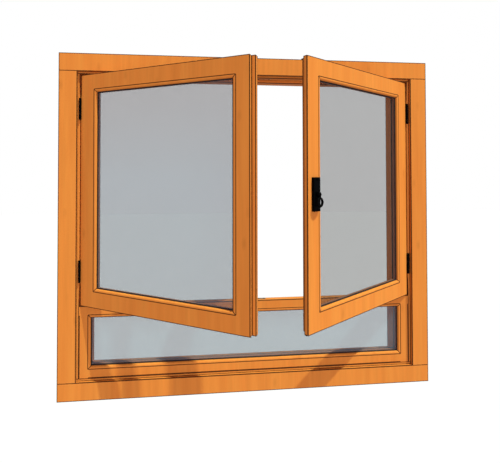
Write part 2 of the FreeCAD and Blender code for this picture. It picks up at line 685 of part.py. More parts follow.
def handle_plate():
    """The plate on the sash face, its front edges rounded."""
    half = PLATE_WIDTH / 2
    plate = sash_box(RIGHT, (HANDLE_W - half, HANDLE_W + half), (-PLATE_THICKNESS, 0),
                     (HANDLE_Z - PLATE_HEIGHT / 2, HANDLE_Z + PLATE_HEIGHT / 2))
    front_y = FRAME_FACE_Y - PLATE_THICKNESS
    front_edges = [edge for edge in plate.Edges if abs(edge.BoundBox.YMax - front_y) < EDGE_TOLERANCE]
    return plate.makeFillet(PLATE_CORNER, front_edges)


def plate_screws():
    """Two screws at the ends of the plate."""
    reach = PLATE_HEIGHT / 2 - PLATE_SCREW_INSET
    return [screw(handle_point(-PLATE_THICKNESS, rise=rise), V(0, 1, 0)) for rise in (reach, -reach)]


def spindle():
    """The square bar from the ring handle to the pinion."""
    half = SPINDLE_SIDE / 2
    d_pair = (-RING_STANDOFF, CASE_DEPTH - CASE_WALL - GEAR_END_PLAY)
    return sash_box(RIGHT, (HANDLE_W - half, HANDLE_W + half), d_pair, (HANDLE_Z - half, HANDLE_Z + half))


def spindle_hole():
    """The round passage that the square spindle turns in."""
    return cylinder_between(handle_point(-PLATE_THICKNESS), handle_point(CASE_DEPTH - CASE_WALL),
                            SPINDLE_HOLE_RADIUS)


def ring_handle():
    """A boss on the plate with a neck and a ring that hangs from it."""
    base_d = -PLATE_THICKNESS - HANDLE_GAP
    boss = cylinder_between(handle_point(base_d), handle_point(base_d - BOSS_LENGTH), BOSS_RADIUS)
    front_y = boss.BoundBox.YMin
    rim = [edge for edge in boss.Edges if abs(edge.BoundBox.YMax - front_y) < EDGE_TOLERANCE]
    boss = boss.makeFillet(BOSS_ROUND, rim)
    neck = cylinder_between(handle_point(-RING_STANDOFF),
                            handle_point(-RING_STANDOFF, rise=RING_RADIUS - RING_DROP),
                            RING_BAR_RADIUS)
    ring = Part.makeTorus(RING_RADIUS, RING_BAR_RADIUS, handle_point(-RING_STANDOFF, rise=-RING_DROP),
                          V(0, 1, 0))
    return joined(boss, neck, ring)


def gearbox():
    """The gear case let into the stile, and the cover that closes its front."""
    w_pair = (HANDLE_W - CASE_HALF_WIDTH, HANDLE_W + CASE_HALF_WIDTH)
    z_pair = (HANDLE_Z - CASE_HALF_HEIGHT, HANDLE_Z + CASE_HALF_HEIGHT)
    inner_w = (w_pair[0] + CASE_WALL, w_pair[1] - CASE_WALL)
    inner_z = (z_pair[0] + CASE_WALL, z_pair[1] - CASE_WALL)
    pocket = sash_box(RIGHT, w_pair, (0, CASE_DEPTH), z_pair)
    case = sash_box(RIGHT, w_pair, (COVER_THICKNESS, CASE_DEPTH), z_pair)
    hollow = sash_box(RIGHT, inner_w, (COVER_THICKNESS, CASE_DEPTH - CASE_WALL), inner_z)
    cover = sash_box(RIGHT, w_pair, (0, COVER_THICKNESS), z_pair)
    return pocket, case.cut([hollow] + rod_bores()), cover.cut(spindle_hole())


def rod_bore(direction, end_z):
    """A rod's passage from inside the gear case to the sash's end."""
    start = handle_point(ROD_DEPTH, across=direction * ROD_OFFSET)
    end = V(start.x, start.y, end_z)
    return cylinder_between(start, end, ROD_BORE_RADIUS)


def rod_bores():
    """Both passages: the upper rod lies on the hinge side of the pinion, the lower on the other."""
    return [rod_bore(1, SASH_TOP_Z), rod_bore(-1, SASH_BOTTOM_Z)]


def rack_teeth(direction):
    """Rack teeth as (across, rise) points, in mesh with a pinion tooth that points at the rack."""
    slope = math.tan(math.radians(GEAR_PRESSURE_DEG))
    half = (GEAR_PITCH - GEAR_BACKLASH) / 4
    tip_half = half - slope * (GEAR_RADIUS - RACK_TIP)
    root_half = half + slope * (RACK_ROOT - GEAR_RADIUS)
    first = -math.floor(RACK_TAIL / GEAR_PITCH)
    last = math.floor(GEAR_RADIUS / GEAR_PITCH) + 1
    outline = []
    for index in range(first, last):
        middle = (index + 0.5) * GEAR_PITCH
        outline += [(RACK_ROOT, middle - root_half), (RACK_TIP, middle - tip_half),
                    (RACK_TIP, middle + tip_half), (RACK_ROOT, middle + root_half)]
    return [(direction * across, direction * rise) for across, rise in outline]


def lock_rod(direction, end_z):
    """A round rod with a toothed rack at the pinion: direction 1 goes up, -1 goes down."""
    back = direction * (RACK_ROOT + RACK_BACK)
    tail = -direction * RACK_TAIL
    lead = direction * RACK_LEAD
    outline = [(back, tail), (direction * RACK_ROOT, tail)] + rack_teeth(direction)
    outline += [(direction * RACK_ROOT, lead), (back, lead)]
    front_d = ROD_DEPTH - GEAR_FACE / 2
    corners = [handle_point(front_d, across, rise) for across, rise in outline]
    rack = Part.Face(Part.makePolygon(corners + corners[:1])).extrude(V(0, GEAR_FACE, 0))
    start = handle_point(ROD_DEPTH, across=direction * ROD_OFFSET, rise=lead)
    rod = cylinder_between(start, V(start.x, start.y, end_z), ROD_RADIUS)
    return joined(rack, rod)


def pinion_outline():
    """The pinion's outline: involute flanks on radial roots, one tooth after another."""
    pressure = math.radians(GEAR_PRESSURE_DEG)
    base = GEAR_RADIUS * math.cos(pressure)
    tip = GEAR_RADIUS + GEAR_ADDENDUM * GEAR_MODULE
    root = GEAR_RADIUS - GEAR_DEDENDUM * GEAR_MODULE
    half_tooth = (GEAR_PITCH - GEAR_BACKLASH) / 4 / GEAR_RADIUS + math.tan(pressure) - pressure
    flank = [(root, half_tooth)]
    for step in range(FLANK_STEPS + 1):
        radius = base + (tip - base) * step / FLANK_STEPS
        roll = math.sqrt((radius / base) ** 2 - 1)
        flank.append((radius, half_tooth - (roll - math.atan(roll))))
    points = []
    for tooth in range(GEAR_TEETH):
        middle = 2 * math.pi * tooth / GEAR_TEETH
        turn = [(radius, middle - angle) for radius, angle in flank]
        turn += [(radius, middle + angle) for radius, angle in reversed(flank)]
        points += [(radius * math.cos(angle), radius * math.sin(angle)) for radius, angle in turn]
    return points


def drive_pinion():
    """The toothed pinion and its hub, with a square hole for the spindle."""
    front_d = ROD_DEPTH - GEAR_FACE / 2
    corners = [handle_point(front_d, across, rise) for across, rise in pinion_outline()]
    teeth = Part.Face(Part.makePolygon(corners + corners[:1])).extrude(V(0, GEAR_FACE, 0))
    hub = cylinder_between(handle_point(COVER_THICKNESS + GEAR_END_PLAY),
                           handle_point(CASE_DEPTH - CASE_WALL - GEAR_END_PLAY), GEAR_HUB_RADIUS)
    return joined(teeth, hub).cut(spindle())


def keep(direction, surface_z, centre):
    """A keep let flush into the frame, its screws, and the pocket that the rod shoots into."""
    half = KEEP_LENGTH / 2
    sunk_z = surface_z + direction * KEEP_THICKNESS
    plate = box((centre.x - half, centre.x + half),
                (centre.y - KEEP_WIDTH / 2, centre.y + KEEP_WIDTH / 2), (surface_z, sunk_z))
    mouth = V(centre.x, centre.y, surface_z)
    pocket = cylinder_between(mouth, mouth + V(0, 0, direction * KEEP_POCKET),
                              ROD_RADIUS + KEEP_HOLE_CLEARANCE)
    reach = half - KEEP_SCREW_INSET
    screws = [screw(mouth + V(offset, 0, 0), V(0, 0, direction), KEEP_SCREW_LENGTH)
              for offset in (-reach, reach)]
    return plate, pocket, screws


# ---------------------------------------------------------------- assembly

def right_hardware():
    """The handle set and lock of the right sash, still closed, and what they cut from timber."""
    pocket, case, cover = gearbox()
    screws = plate_screws()
    sash_nodes = {
        "handle_plate": handle_plate().cut(screws + [spindle_hole()]),
        "handle_plate_screws": group(screws),
        "gearbox_case": case,
        "gearbox_cover": cover,
    }
    moving_nodes = {
        "ring_handle": ring_handle().cut(spindle()),
        "handle_spindle": spindle(),
        "drive_pinion": drive_pinion(),
        "upper_rod": lock_rod(1, SASH_TOP_Z - ROD_REST_DEPTH),
        "lower_rod": lock_rod(-1, SASH_BOTTOM_Z + ROD_REST_DEPTH),
    }
    return sash_nodes, moving_nodes, screws + rod_bores() + [pocket]


def build():
    """Every node of the window, by name."""
    nodes = casings()
    nodes.update(fixed_frame())
    nodes.update(fixed_glazing())
    frame_leaves, sash_leaves, pins, frame_screws, sash_screws = hinges()

    rod_rest = handle_point(ROD_DEPTH, across=ROD_OFFSET)
    upper, upper_pocket, upper_screws = keep(1, HEAD_UNDER_Z, rod_rest)
    rod_rest = handle_point(ROD_DEPTH, across=-ROD_OFFSET)
    lower, lower_pocket, lower_screws = keep(-1, TRANSOM_TOP_Z, rod_rest)
    nodes["frame_head"] = nodes["frame_head"].cut([upper, upper_pocket] + upper_screws)
    nodes["transom"] = nodes["transom"].cut([lower, lower_pocket] + lower_screws)
    nodes["upper_keep"] = upper.cut([upper_pocket] + upper_screws)
    nodes["lower_keep"] = lower.cut([lower_pocket] + lower_screws)

    for name in ("left_jamb", "right_jamb"):
        nodes[name] = nodes[name].cut(list(frame_leaves.values()) + frame_screws)
    nodes.update(frame_leaves)
    nodes["hinge_pins"] = group(pins)
    nodes["frame_screws"] = group(frame_screws + upper_screws + lower_screws)

    hardware, moving, hardware_cuts = right_hardware()
    for prefix, side, extra in (("left", LEFT, []), ("right", RIGHT, hardware_cuts)):
        cutters = list(sash_leaves[side].values()) + sash_screws[side] + extra
        pieces = sash(prefix, side, cutters)
        pieces.update(sash_leaves[side])
        pieces[prefix + "_hinge_screws"] = group(sash_screws[side])
        if side == RIGHT:
            pieces.update(hardware)
            pieces.update(moving)
        nodes.update({name: opened(shape, side) for name, shape in pieces.items()})
    return nodes


def main():
    """Write one STEP file for each node."""
    os.makedirs("parts", exist_ok=True)
    for name, shape in build().items():
        shape.exportStep(os.path.join("parts", name + ".step"))


if __name__ == "__main__":
    main()
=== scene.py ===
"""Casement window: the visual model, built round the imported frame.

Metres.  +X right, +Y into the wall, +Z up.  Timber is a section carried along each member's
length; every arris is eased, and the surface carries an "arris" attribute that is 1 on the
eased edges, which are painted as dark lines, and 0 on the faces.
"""

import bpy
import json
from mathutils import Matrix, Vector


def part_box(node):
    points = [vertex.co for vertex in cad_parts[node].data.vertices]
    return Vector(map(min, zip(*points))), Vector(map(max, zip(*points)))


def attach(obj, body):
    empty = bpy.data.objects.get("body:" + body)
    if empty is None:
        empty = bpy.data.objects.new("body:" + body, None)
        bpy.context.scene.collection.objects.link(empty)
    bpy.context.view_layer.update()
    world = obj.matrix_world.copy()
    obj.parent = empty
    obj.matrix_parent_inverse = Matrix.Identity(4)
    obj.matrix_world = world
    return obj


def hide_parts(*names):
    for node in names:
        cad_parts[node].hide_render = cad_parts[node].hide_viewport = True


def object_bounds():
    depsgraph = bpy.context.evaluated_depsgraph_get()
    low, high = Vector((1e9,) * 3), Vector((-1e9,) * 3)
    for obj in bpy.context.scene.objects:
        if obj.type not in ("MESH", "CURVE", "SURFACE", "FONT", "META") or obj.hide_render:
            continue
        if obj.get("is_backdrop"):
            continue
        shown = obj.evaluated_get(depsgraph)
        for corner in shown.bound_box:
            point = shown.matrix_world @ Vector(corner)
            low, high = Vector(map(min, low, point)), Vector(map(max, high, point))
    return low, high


bl_info = {
    "name": "Casement Window",
    "version": (1, 0, 0),
    "blender": (4, 5, 0),
    "location": "3D View > Sidebar > Window",
    "description": "Builds the timber, glass and ironmongery of a casement window",
    "category": "Object",
}

import json
import math

import bpy
import numpy as np
from bpy.props import FloatProperty, FloatVectorProperty, PointerProperty
from bpy.types import Operator, Panel, PropertyGroup

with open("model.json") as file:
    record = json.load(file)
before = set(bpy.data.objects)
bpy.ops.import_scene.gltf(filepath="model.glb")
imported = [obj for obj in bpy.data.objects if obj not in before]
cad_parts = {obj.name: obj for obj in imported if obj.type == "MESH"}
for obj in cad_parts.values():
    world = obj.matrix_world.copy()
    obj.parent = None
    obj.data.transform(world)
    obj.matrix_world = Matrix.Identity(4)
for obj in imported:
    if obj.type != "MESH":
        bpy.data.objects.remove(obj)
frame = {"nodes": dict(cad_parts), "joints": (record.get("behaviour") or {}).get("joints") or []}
CAD_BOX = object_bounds()

# Sections, in metres
CASING_REBATE = 0.0015
STOP_HEIGHT = 0.011
STOP_DEPTH = 0.038
STOP_TUCK = 0.002
TRANSOM_FLAT = 0.027
TRANSOM_FALL = 0.019
FIXED_REBATE = 0.032
SILL_LEDGE = 0.006
SILL_FALL = 0.015
SASH_REBATE = 0.026
STOP_EDGE = 0.001
STOP_FOOT = 0.002
BEAD_WIDTH = 0.009
BEAD_DEPTH = 0.008
LIP_THICKNESS = 0.015
TONGUE_DEPTH = 0.016
TONGUE_LENGTH = 0.015
LIP_LENGTH = 0.019
GASKET_SIGHT = 0.004
GASKET_DEPTH = 0.0025
REAR_GASKET_DEPTH = 0.0015

# Bores, in metres
KEEP_HOLE_RADIUS = 0.004
KEEP_POCKET_DEPTH = 0.0145
ROD_BORE_RADIUS = 0.0035
ROD_BORE_OVERSHOOT = 0.01
FIXING_RADIUS = 0.004
FIXING_RISE = 0.35
FIXING_TO_STOP = 0.005
FIXING_OVERSHOOT = 0.02

# Handle, in metres
RING_BAR = 0.004
BOSS_RADIUS = 0.008
BOSS_LENGTH = 0.0105
BOSS_ROLL = 0.002

# Modelling: an offset too small to see, the ease of an unlined arris, the length of a step
# between two sections, how far a cut overshoots, and how an arris is lined along its length
SLIGHT = 0.0003
SHARP = 0.00005
STEP_LENGTH = 0.0004
OVERCUT = 0.001
BEYOND = 9.0
EVERYWHERE = (-10.0, 10.0)
SQUARE_ENDS = (False, False)
NO_LINE, OWN_LINES, FULL_LINE = -1, 0, 1

# Finishes: the middle range of a noise, the heights between which the glass changes its tint
# and painted reflection, where each timber's grain starts, and the moulded finishes
NOISE_RANGE = (0.3, 0.7)
GLASS_HEIGHTS = (0.84, 1.12)
GRAIN_SHIFTS = {"casing_wood": (0.3, 0.1, 0.2), "frame_wood": (1.7, 0.4, 0.9),
                "sash_wood": (4.1, 0.8, 1.6), "bead_wood": (7.3, 1.2, 2.4)}
MOULDED = {
    "packer_plastic": {"dark": (0.02, 0.08, 0.2), "pale": (0.04, 0.12, 0.27)},
    "spacer_plastic": {"dark": (0.26, 0.095, 0.045), "pale": (0.34, 0.125, 0.06)},
    "seal_rubber": {"dark": (0.008, 0.007, 0.007), "pale": (0.016, 0.014, 0.014), "scale": 900,
                    "detail": 2, "relief": 0.4, "rough": (0.62, 0.8), "Specular_IOR_Level": 0.25},
}

# Stage: the lens in millimetres, its shift in sensor widths, and the camera and lights
LENS, SENSOR = 27.18, 36.0
LENS_SHIFT = (0.098, -0.137)
CAMERA_PLACE = (-0.3478, -1.502, 0.8665)
CAMERA_DEGREES = (90.901, -0.02, -5.609)
KEY_FROM = (0.375, -0.289, 0.881)
KEY_COLOUR = (0.97, 1.17, 1.0)
FILL_FROM = (0.2, -0.97, -0.1)
SHADE_COLOUR = (1.0, 0.93, 1.0)
FLOOR_HALF = 14.0

FACE_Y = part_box("transom")[0].y
JOINTS = {joint["name"]: joint for joint in frame["joints"]}


# ---- placing

class Sash:
    """A sash as it stands: closed positions (w from the pin, d from the face, z), then turned."""

    def __init__(self, prefix, side):
        joint = JOINTS[prefix + "_sash_hinge"]
        self.prefix, self.side, self.body = prefix, side, prefix + "_sash"
        self.pin = np.array(joint["pos_m"][:2])
        self.angle = math.radians(-joint["axis"][2] * joint["range_deg"][0])

    def turn(self, x, y, angle):
        """Plan positions turned about the pin: cosine and sine of the angle mix x and y."""
        cos, sin = math.cos(angle), math.sin(angle)
        dx, dy = x - self.pin[0], y - self.pin[1]
        return self.pin[0] + cos * dx - sin * dy, self.pin[1] + sin * dx + cos * dy

    def spot(self, w, d, z):
        """Closed positions to points: x is w away from the pin, y is d behind the face.  It
        also carries a section in (w, d) up the sash."""
        return upright(*self.turn(self.pin[0] - self.side * w, FACE_Y + d, self.angle), z)

    def level(self, a, b, s):
        """A section in (d, z) carried along w."""
        return self.spot(s, a, b)

    def closed(self, node):
        """A CAD node's points on the closed sash, as (w, d, z) rows."""
        points = node_points(node)
        x, y = self.turn(points[:, 0], points[:, 1], -self.angle)
        return np.stack([self.side * (self.pin[0] - x), y - FACE_Y, points[:, 2]], -1)

    def limits(self, node):
        """Lowest and highest (w, d, z) of a CAD node on the closed sash."""
        points = self.closed(node)
        return points.min(0), points.max(0)


def node_points(node):
    """All the points of a CAD node, one row each."""
    mesh = frame["nodes"][node].data
    points = np.zeros(len(mesh.vertices) * 3, np.float32)
    mesh.vertices.foreach_get("co", points)
    return points.reshape(-1, 3).astype(float)


def upright(a, b, s):
    """A section in (x, y) carried up."""
    return np.stack(np.broadcast_arrays(a, b, s), -1)


def level(a, b, s):
    """A section in (y, z) carried along x."""
    return upright(s, a, b)


def fixed_spot(x, d, z):
    """Points of the fixed light, d behind the frame's face."""
    return upright(x, FACE_Y + d, z)


LEFT_SASH = Sash("left", -1)
RIGHT_SASH = Sash("right", 1)


# ---- meshes

def stitched(rings, close_ends=True):
    """Faces between rings of equal count, each joined to the next, with a cap on each end."""
    count, size = rings.shape[:2]
    step = np.arange(size)
    after = np.roll(step, -1)
    first = np.arange(count - 1)[:, None] * size
    quads = np.stack([first + step, first + after, first + size + after, first + size + step], -1)
    faces = quads.reshape(-1, 4).tolist()
    if close_ends:
        faces.append(step[::-1].tolist())
        faces.append((step + (count - 1) * size).tolist())
    return rings.reshape(-1, 3), faces


def outward(points, faces):
    """The same shell with its faces pointing out, judged by the sign of its volume, which is
    summed over triangles that fan out from each face's first point."""
    centred = points - points.mean(0)
    fans = [centred[face] for face in faces]
    volume = sum(np.sum(np.cross(fan[1:-1], fan[2:]) @ fan[0]) for fan in fans)
    return faces if volume > 0 else [face[::-1] for face in faces]


def merged(shells):
    """Several shells (points, faces, arris values) as one."""
    points, faces, arris, start = [], [], [], 0
    for shell_points, shell_faces, shell_arris in shells:
        points.append(shell_points)
        arris.append(shell_arris)
        faces += [[start + index for index in face] for face in outward(shell_points, shell_faces)]
        start += len(shell_points)
    return np.concatenate(points), faces, np.concatenate(arris)


def piece(name, node, shells, body, slot, cuts=(), joins=()):
    """Makes a piece in place of a CAD node from closed shells, joins further groups of shells
    to it, cuts its recesses and hangs it on its body."""
    points, faces, arris = merged(shells)
    mesh = bpy.data.meshes.new(name)
    mesh.from_pydata(points.tolist(), [], faces)
    values = mesh.attributes.new("arris", "FLOAT", "POINT").data
    values.foreach_set("value", arris.astype(np.float32))
    mesh.materials.append(finish_of(slot))
    mesh.update()
    made = bpy.data.objects.new(name, mesh)
    bpy.context.scene.collection.objects.link(made)
    for operation, groups in (("UNION", joins), ("DIFFERENCE", cuts)):
        for group in groups:
            combine(made, group, operation)
    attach(made, body)
    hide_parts(node)


def combine(made, shells, operation):
    """Cuts shells out of a piece, or joins them to it, and keeps only the finished mesh."""
    points, faces, _ = merged(shells)
    mesh = bpy.data.meshes.new("cutter")
    mesh.from_pydata(points.tolist(), [], faces)
    mesh.update()
    cutter = bpy.data.objects.new("cutter", mesh)
    bpy.context.scene.collection.objects.link(cutter)
    modifier = made.modifiers.new("shape", "BOOLEAN")
    modifier.operation = operation
    modifier.solver = "EXACT"
    modifier.object = cutter
    graph = bpy.context.evaluated_depsgraph_get()
    graph.update()
    finished = bpy.data.meshes.new_from_object(made.evaluated_get(graph))
    made.modifiers.remove(modifier)
    plain = made.data
    made.data = finished
    finished.name = made.name
    bpy.data.meshes.remove(plain)
    bpy.data.objects.remove(cutter)
    bpy.data.meshes.remove(mesh)


# ---- sections carried along a path

def unit(rows):
    """Rows of length one."""
    return rows / np.linalg.norm(rows, axis=-1, keepdims=True)


def section_ring(corners, radii, margins, inset=0.0):
    """A section's outline with each corner made five points: a point on either side, and an
    eased edge between them whose middle is a quarter of each tangent point plus half of the
    corner.  An inset moves every side inwards by that much, and no corner's points take up
    more than 0.45 of its shorter side."""
    to_before = unit(np.roll(corners, 1, 0) - corners)
    to_after = unit(np.roll(corners, -1, 0) - corners)
    normal_before = np.stack([to_before[:, 1], -to_before[:, 0]], -1)
    normal_after = np.stack([-to_after[:, 1], to_after[:, 0]], -1)
    dot = np.sum(normal_before * normal_after, -1, keepdims=True)
    moved = corners + inset * (normal_before + normal_after) / (1 + dot)
    sides = np.linalg.norm(np.roll(corners, -1, 0) - corners, axis=-1)
    shorter = np.minimum(np.roll(sides, 1), sides)
    room = np.maximum(0.45 * shorter - 0.5 * inset, 2 * SHARP)
    ease = np.minimum(np.maximum(radii - inset, SHARP), 0.6 * room)[:, None]
    reach = np.minimum(ease[:, 0] + margins, room)[:, None]
    start = moved + to_before * ease
    end = moved + to_after * ease
    middle = 0.25 * start + 0.5 * moved + 0.25 * end
    ring = np.stack([moved + to_before * reach, start, middle, end, moved + to_after * reach], 1)
    return ring.reshape(-1, 2)


def counterclockwise(corners):
    """True when a section's corners run counterclockwise, from twice its signed area."""
    after = np.roll(corners, -1, 0)
    return np.sum(corners[:, 0] * after[:, 1] - corners[:, 1] * after[:, 0]) > 0


def carried(place, outlines, span, lined, eased=(True, True), steps=(), painted_shade_corners=()):
    """A section carried along a straight path and closed at both ends.

    outlines are sections with the same number of corners; steps tells where along the path
    each next one takes over.  lined maps a corner's number to the stretch where its arris
    shows as a line, and a corner listed for painted shade gets a line twice as wide: painted
    shade for the shadow gap in an inner corner between parts.  An eased end shrinks the
    section by the arris radius over that length, and its cap has no lines.
    the section by the arris radius over that length, and its cap has no lines."""
    sizes = bpy.context.scene.window_timber
    radius, margin = sizes.arris, sizes.line_width
    outlines = [np.array(outline, float) for outline in outlines]
    count = len(outlines[0])
    stretch = np.full((count, 2), np.inf)
    fades = np.full(count, margin)
    # Listed corners get a line twice as wide: painted shade for the shadow gap in a crease between
    # parts.
    for corner in painted_shade_corners:
        fades[corner] = 2 * margin
    for corner, part in lined.items():
        stretch[corner] = part
    if not counterclockwise(outlines[0]):
        outlines = [outline[::-1] for outline in outlines]
        stretch, fades = stretch[::-1], fades[::-1]
    is_lined = stretch[:, 0] < np.inf
    low, high = span
    bend = (1 - math.sqrt(0.5)) * radius
    stops = []
    for end, inward, flag in ((low, 1, eased[0]), (high, -1, eased[1])):
        if flag:
            stops += [(end, radius + margin, NO_LINE), (end, radius, FULL_LINE),
                      (end + inward * bend, bend, FULL_LINE),
                      (end + inward * radius, 0, FULL_LINE),
                      (end + inward * (radius + margin), 0, OWN_LINES)]
        else:
            stops.append((end, 0, OWN_LINES))
    past_ease = 1.01 * (radius + margin)
    for edge in np.unique(stretch[is_lined]):
        stops += [(s, 0, OWN_LINES) for s in (edge - margin, edge, edge + margin)
                  if low + past_ease < s < high - past_ease]
    for step in steps:
        stops += [(step, 0, OWN_LINES), (step + STEP_LENGTH, 0, OWN_LINES)]
    middle = (low + high) / 2
    stops.sort(key=lambda stop: (stop[0], -stop[1] if stop[0] < middle else stop[1]))
    rings, values = [], []
    for s, inset, line in stops:
        number = sum(s > step + STEP_LENGTH / 2 for step in steps)
        here = is_lined & (stretch[:, 0] - SHARP <= s) & (s <= stretch[:, 1] + SHARP)
        ring = section_ring(outlines[number], np.where(here, radius, SHARP), fades, inset)
        value = np.zeros((count, 5))
        value[:, 1:4] = here[:, None] & (line != NO_LINE)
        rings.append(place(ring[:, 0], ring[:, 1], np.full(len(ring), s)))
        values.append(np.maximum(value.reshape(-1), line))
    points, faces = stitched(np.array(rings))
    return points, faces, np.concatenate(values)


def full_lines(*corners):
    """Arrises that show as lines along their whole length."""
    return dict.fromkeys(corners, EVERYWHERE)


def unlined(rings):
    """Stitched rings whose arrises don't show as lines."""
    points, faces = stitched(rings)
    return points, faces, np.zeros(len(points))


def boxed(place, low, high):
    """A plain box between two corners, placed by a function of three numbers."""
    a = np.array([low[0], high[0], high[0], low[0]])
    b = np.array([low[1], low[1], high[1], high[1]])
    return unlined(np.array([place(a, b, np.full(4, s)) for s in (low[2], high[2])]))


def turned(place, profile, segments=32):
    """A profile of (radius, height) turned about an axis: cosine and sine of the angle times
    the radius, with a flat cap on each end."""
    angle = np.linspace(0, 2 * math.pi, segments, endpoint=False)
    return unlined(np.array([place(r * np.cos(angle), r * np.sin(angle), np.full(segments, h))
                             for r, h in profile]))


def looped(spot, limits, profile, marked):
    """Four bars round a rectangle, mitred at its corners.  A profile point lies a inwards from
    the rebate wall and d behind the face, and at a mitre it is also a along from the corner."""
    margin = bpy.context.scene.window_timber.line_width
    (left, low), (right, high) = limits
    corners = np.array([(left, low), (right, low), (right, high), (left, high)])
    across = np.array([(0, 1), (-1, 0), (0, -1), (1, 0)])
    inward, depth = profile[:, 0], profile[:, 1]
    shells = []
    for index in range(4):
        start, end = corners[index], corners[(index + 1) % 4]
        length = np.abs(end - start).sum()
        along = (end - start) / length
        runs = np.array([inward, inward + margin, length - inward - margin, length - inward])
        plan = start + runs[..., None] * along + inward[:, None] * across[index]
        rings = spot(plan[..., 0], depth, plan[..., 1])
        values = np.zeros(runs.shape)
        values[[0, 3]] = marked
        points, faces = stitched(rings)
        shells.append((points, faces, values.reshape(-1)))
    return shells


# ---- materials

class Finish:
    """A node material under construction, with short calls for its nodes and links."""

    def __init__(self, name):
        self.material = bpy.data.materials.new(name)
        self.material.use_nodes = True
        self.tree = self.material.node_tree
        self.shader = self.tree.nodes["Principled BSDF"]
        self.coordinates = self.node("ShaderNodeTexCoord").outputs["Object"]

    def node(self, kind, **settings):
        """Adds a node: plain names are its properties, and names in inputs are its sockets."""
        made = self.tree.nodes.new(kind)
        inputs = settings.pop("inputs", {})
        for key, value in settings.items():
            setattr(made, key, value)
        for key, value in inputs.items():
            self.fill(made.inputs[key], value)
        return made

    def fill(self, socket, value):
        """Links a socket to another node's output, or sets it to a constant."""
        if isinstance(value, bpy.types.NodeSocket):
            self.tree.links.new(value, socket)
        else:
            socket.default_value = value

    def stretched(self, scale, shift=(0, 0, 0)):
        """Object coordinates, scaled along each axis."""
        return self.node("ShaderNodeMapping", inputs={
            "Vector": self.coordinates, "Scale": scale, "Location": shift}).outputs[0]

    def noise(self, vector, scale, detail=3.0, distortion=0.0):
        """Noise from 0 to 1."""
        return self.node("ShaderNodeTexNoise", inputs={
            "Vector": vector, "Scale": scale, "Detail": detail,
            "Distortion": distortion}).outputs["Fac"]

    def ranged(self, value, low, high, to_low, to_high):
        """A value's range carried onto another."""
        return self.node("ShaderNodeMapRange", inputs={
            "Value": value, "From Min": low, "From Max": high,
            "To Min": to_low, "To Max": to_high}).outputs["Result"]

    def varied(self, noise, low, high):
        """A noise's middle range carried onto low to high."""
        return self.ranged(noise, *NOISE_RANGE, low, high)

    def times(self, first, second):
        """The product of two values."""
        return self.node("ShaderNodeMath", operation="MULTIPLY",
                         inputs={0: first, 1: second}).outputs[0]

    def shaded(self, colour, value):
        """A colour made lighter or darker by a value."""
        return self.node("ShaderNodeVectorMath", operation="SCALE",
                         inputs={0: colour, "Scale": value}).outputs[0]

    def blend(self, factor, first, second):
        """One colour turning into another, by the mix node's colour sockets 6, 7 and 2."""
        first, second = (value if isinstance(value, bpy.types.NodeSocket) else (*value, 1)
                         for value in (first, second))
        return self.node("ShaderNodeMix", data_type="RGBA",
                         inputs={0: factor, 6: first, 7: second}).outputs[2]

    def bumped(self, height, distance, strength=1.0):
        """The shader's normal, raised by a height."""
        bump = self.node("ShaderNodeBump", inputs={
            "Height": height, "Distance": distance, "Strength": strength})
        self.tree.links.new(bump.outputs[0], self.shader.inputs["Normal"])

    def set(self, **sockets):
        """Sets or links the shader's sockets, with underscores for spaces."""
        for key, value in sockets.items():
            self.fill(self.shader.inputs[key.replace("_", " ")], value)
        return self.material


def stained_timber(name, shift):
    """Clear-finished softwood: upright bands and fibres, a few faint knots, dark eased edges."""
    sizes = bpy.context.scene.window_timber
    finish = Finish(name)
    bands = finish.noise(finish.stretched((1, 1, 0.045), shift), scale=62, distortion=0.3)
    fibres = finish.noise(finish.stretched((1, 1, 0.02), shift), scale=620, detail=2)
    warmth = finish.noise(finish.stretched((1, 1, 0.09), shift), scale=24, detail=2,
                          distortion=0.5)
    knots = finish.node("ShaderNodeTexVoronoi", inputs={
        "Vector": finish.stretched((1, 1, 0.42), shift), "Scale": 15.0,
        "Randomness": 1.0}).outputs["Distance"]
    knot = finish.ranged(knots, 0.02, 0.16, 1.0, 0.0)
    tone = finish.times(finish.varied(bands, 1 - sizes.band_contrast, 1 + sizes.band_contrast),
                        finish.varied(fibres, 0.975, 1.025))
    tone = finish.times(tone, finish.ranged(knot, 0, 1, 1, 0.86))
    timber = finish.blend(finish.ranged(warmth, 0.35, 0.65, 0, 1), sizes.light_timber,
                          sizes.warm_timber)
    arris = finish.node("ShaderNodeAttribute", attribute_name="arris").outputs["Fac"]
    edge = finish.ranged(arris, 0.02, 0.25, 0, sizes.line_strength)
    colour = finish.blend(edge, finish.shaded(timber, tone), sizes.line_colour)
    finish.bumped(finish.times(bands, fibres), distance=0.0004, strength=0.35)
    return finish.set(Base_Color=colour, Roughness=finish.varied(fibres, 0.44, 0.56),
                      Specular_IOR_Level=0.05)


def window_glass(name, cool, warm, cover):
    """Tinted glass: most of each face lets light through, and the rest is its tint with a painted
    reflection, cool and bluer low down and warm higher up, with a faint haze."""
    finish = Finish(name)
    height = finish.node("ShaderNodeSeparateXYZ", inputs={0: finish.coordinates}).outputs["Z"]
    haze = finish.varied(finish.noise(finish.coordinates, scale=3, detail=2), 0.97, 1.03)
    # Tint with a painted reflection: cool and bluer low down, warm higher up.
    tint_and_reflection = finish.blend(finish.ranged(height, *GLASS_HEIGHTS, 0, 1), cool, warm)
    return finish.set(Base_Color=finish.shaded(tint_and_reflection, haze), Alpha=cover, Roughness=0.2,
                      Specular_IOR_Level=bpy.context.scene.window_glass.gloss)


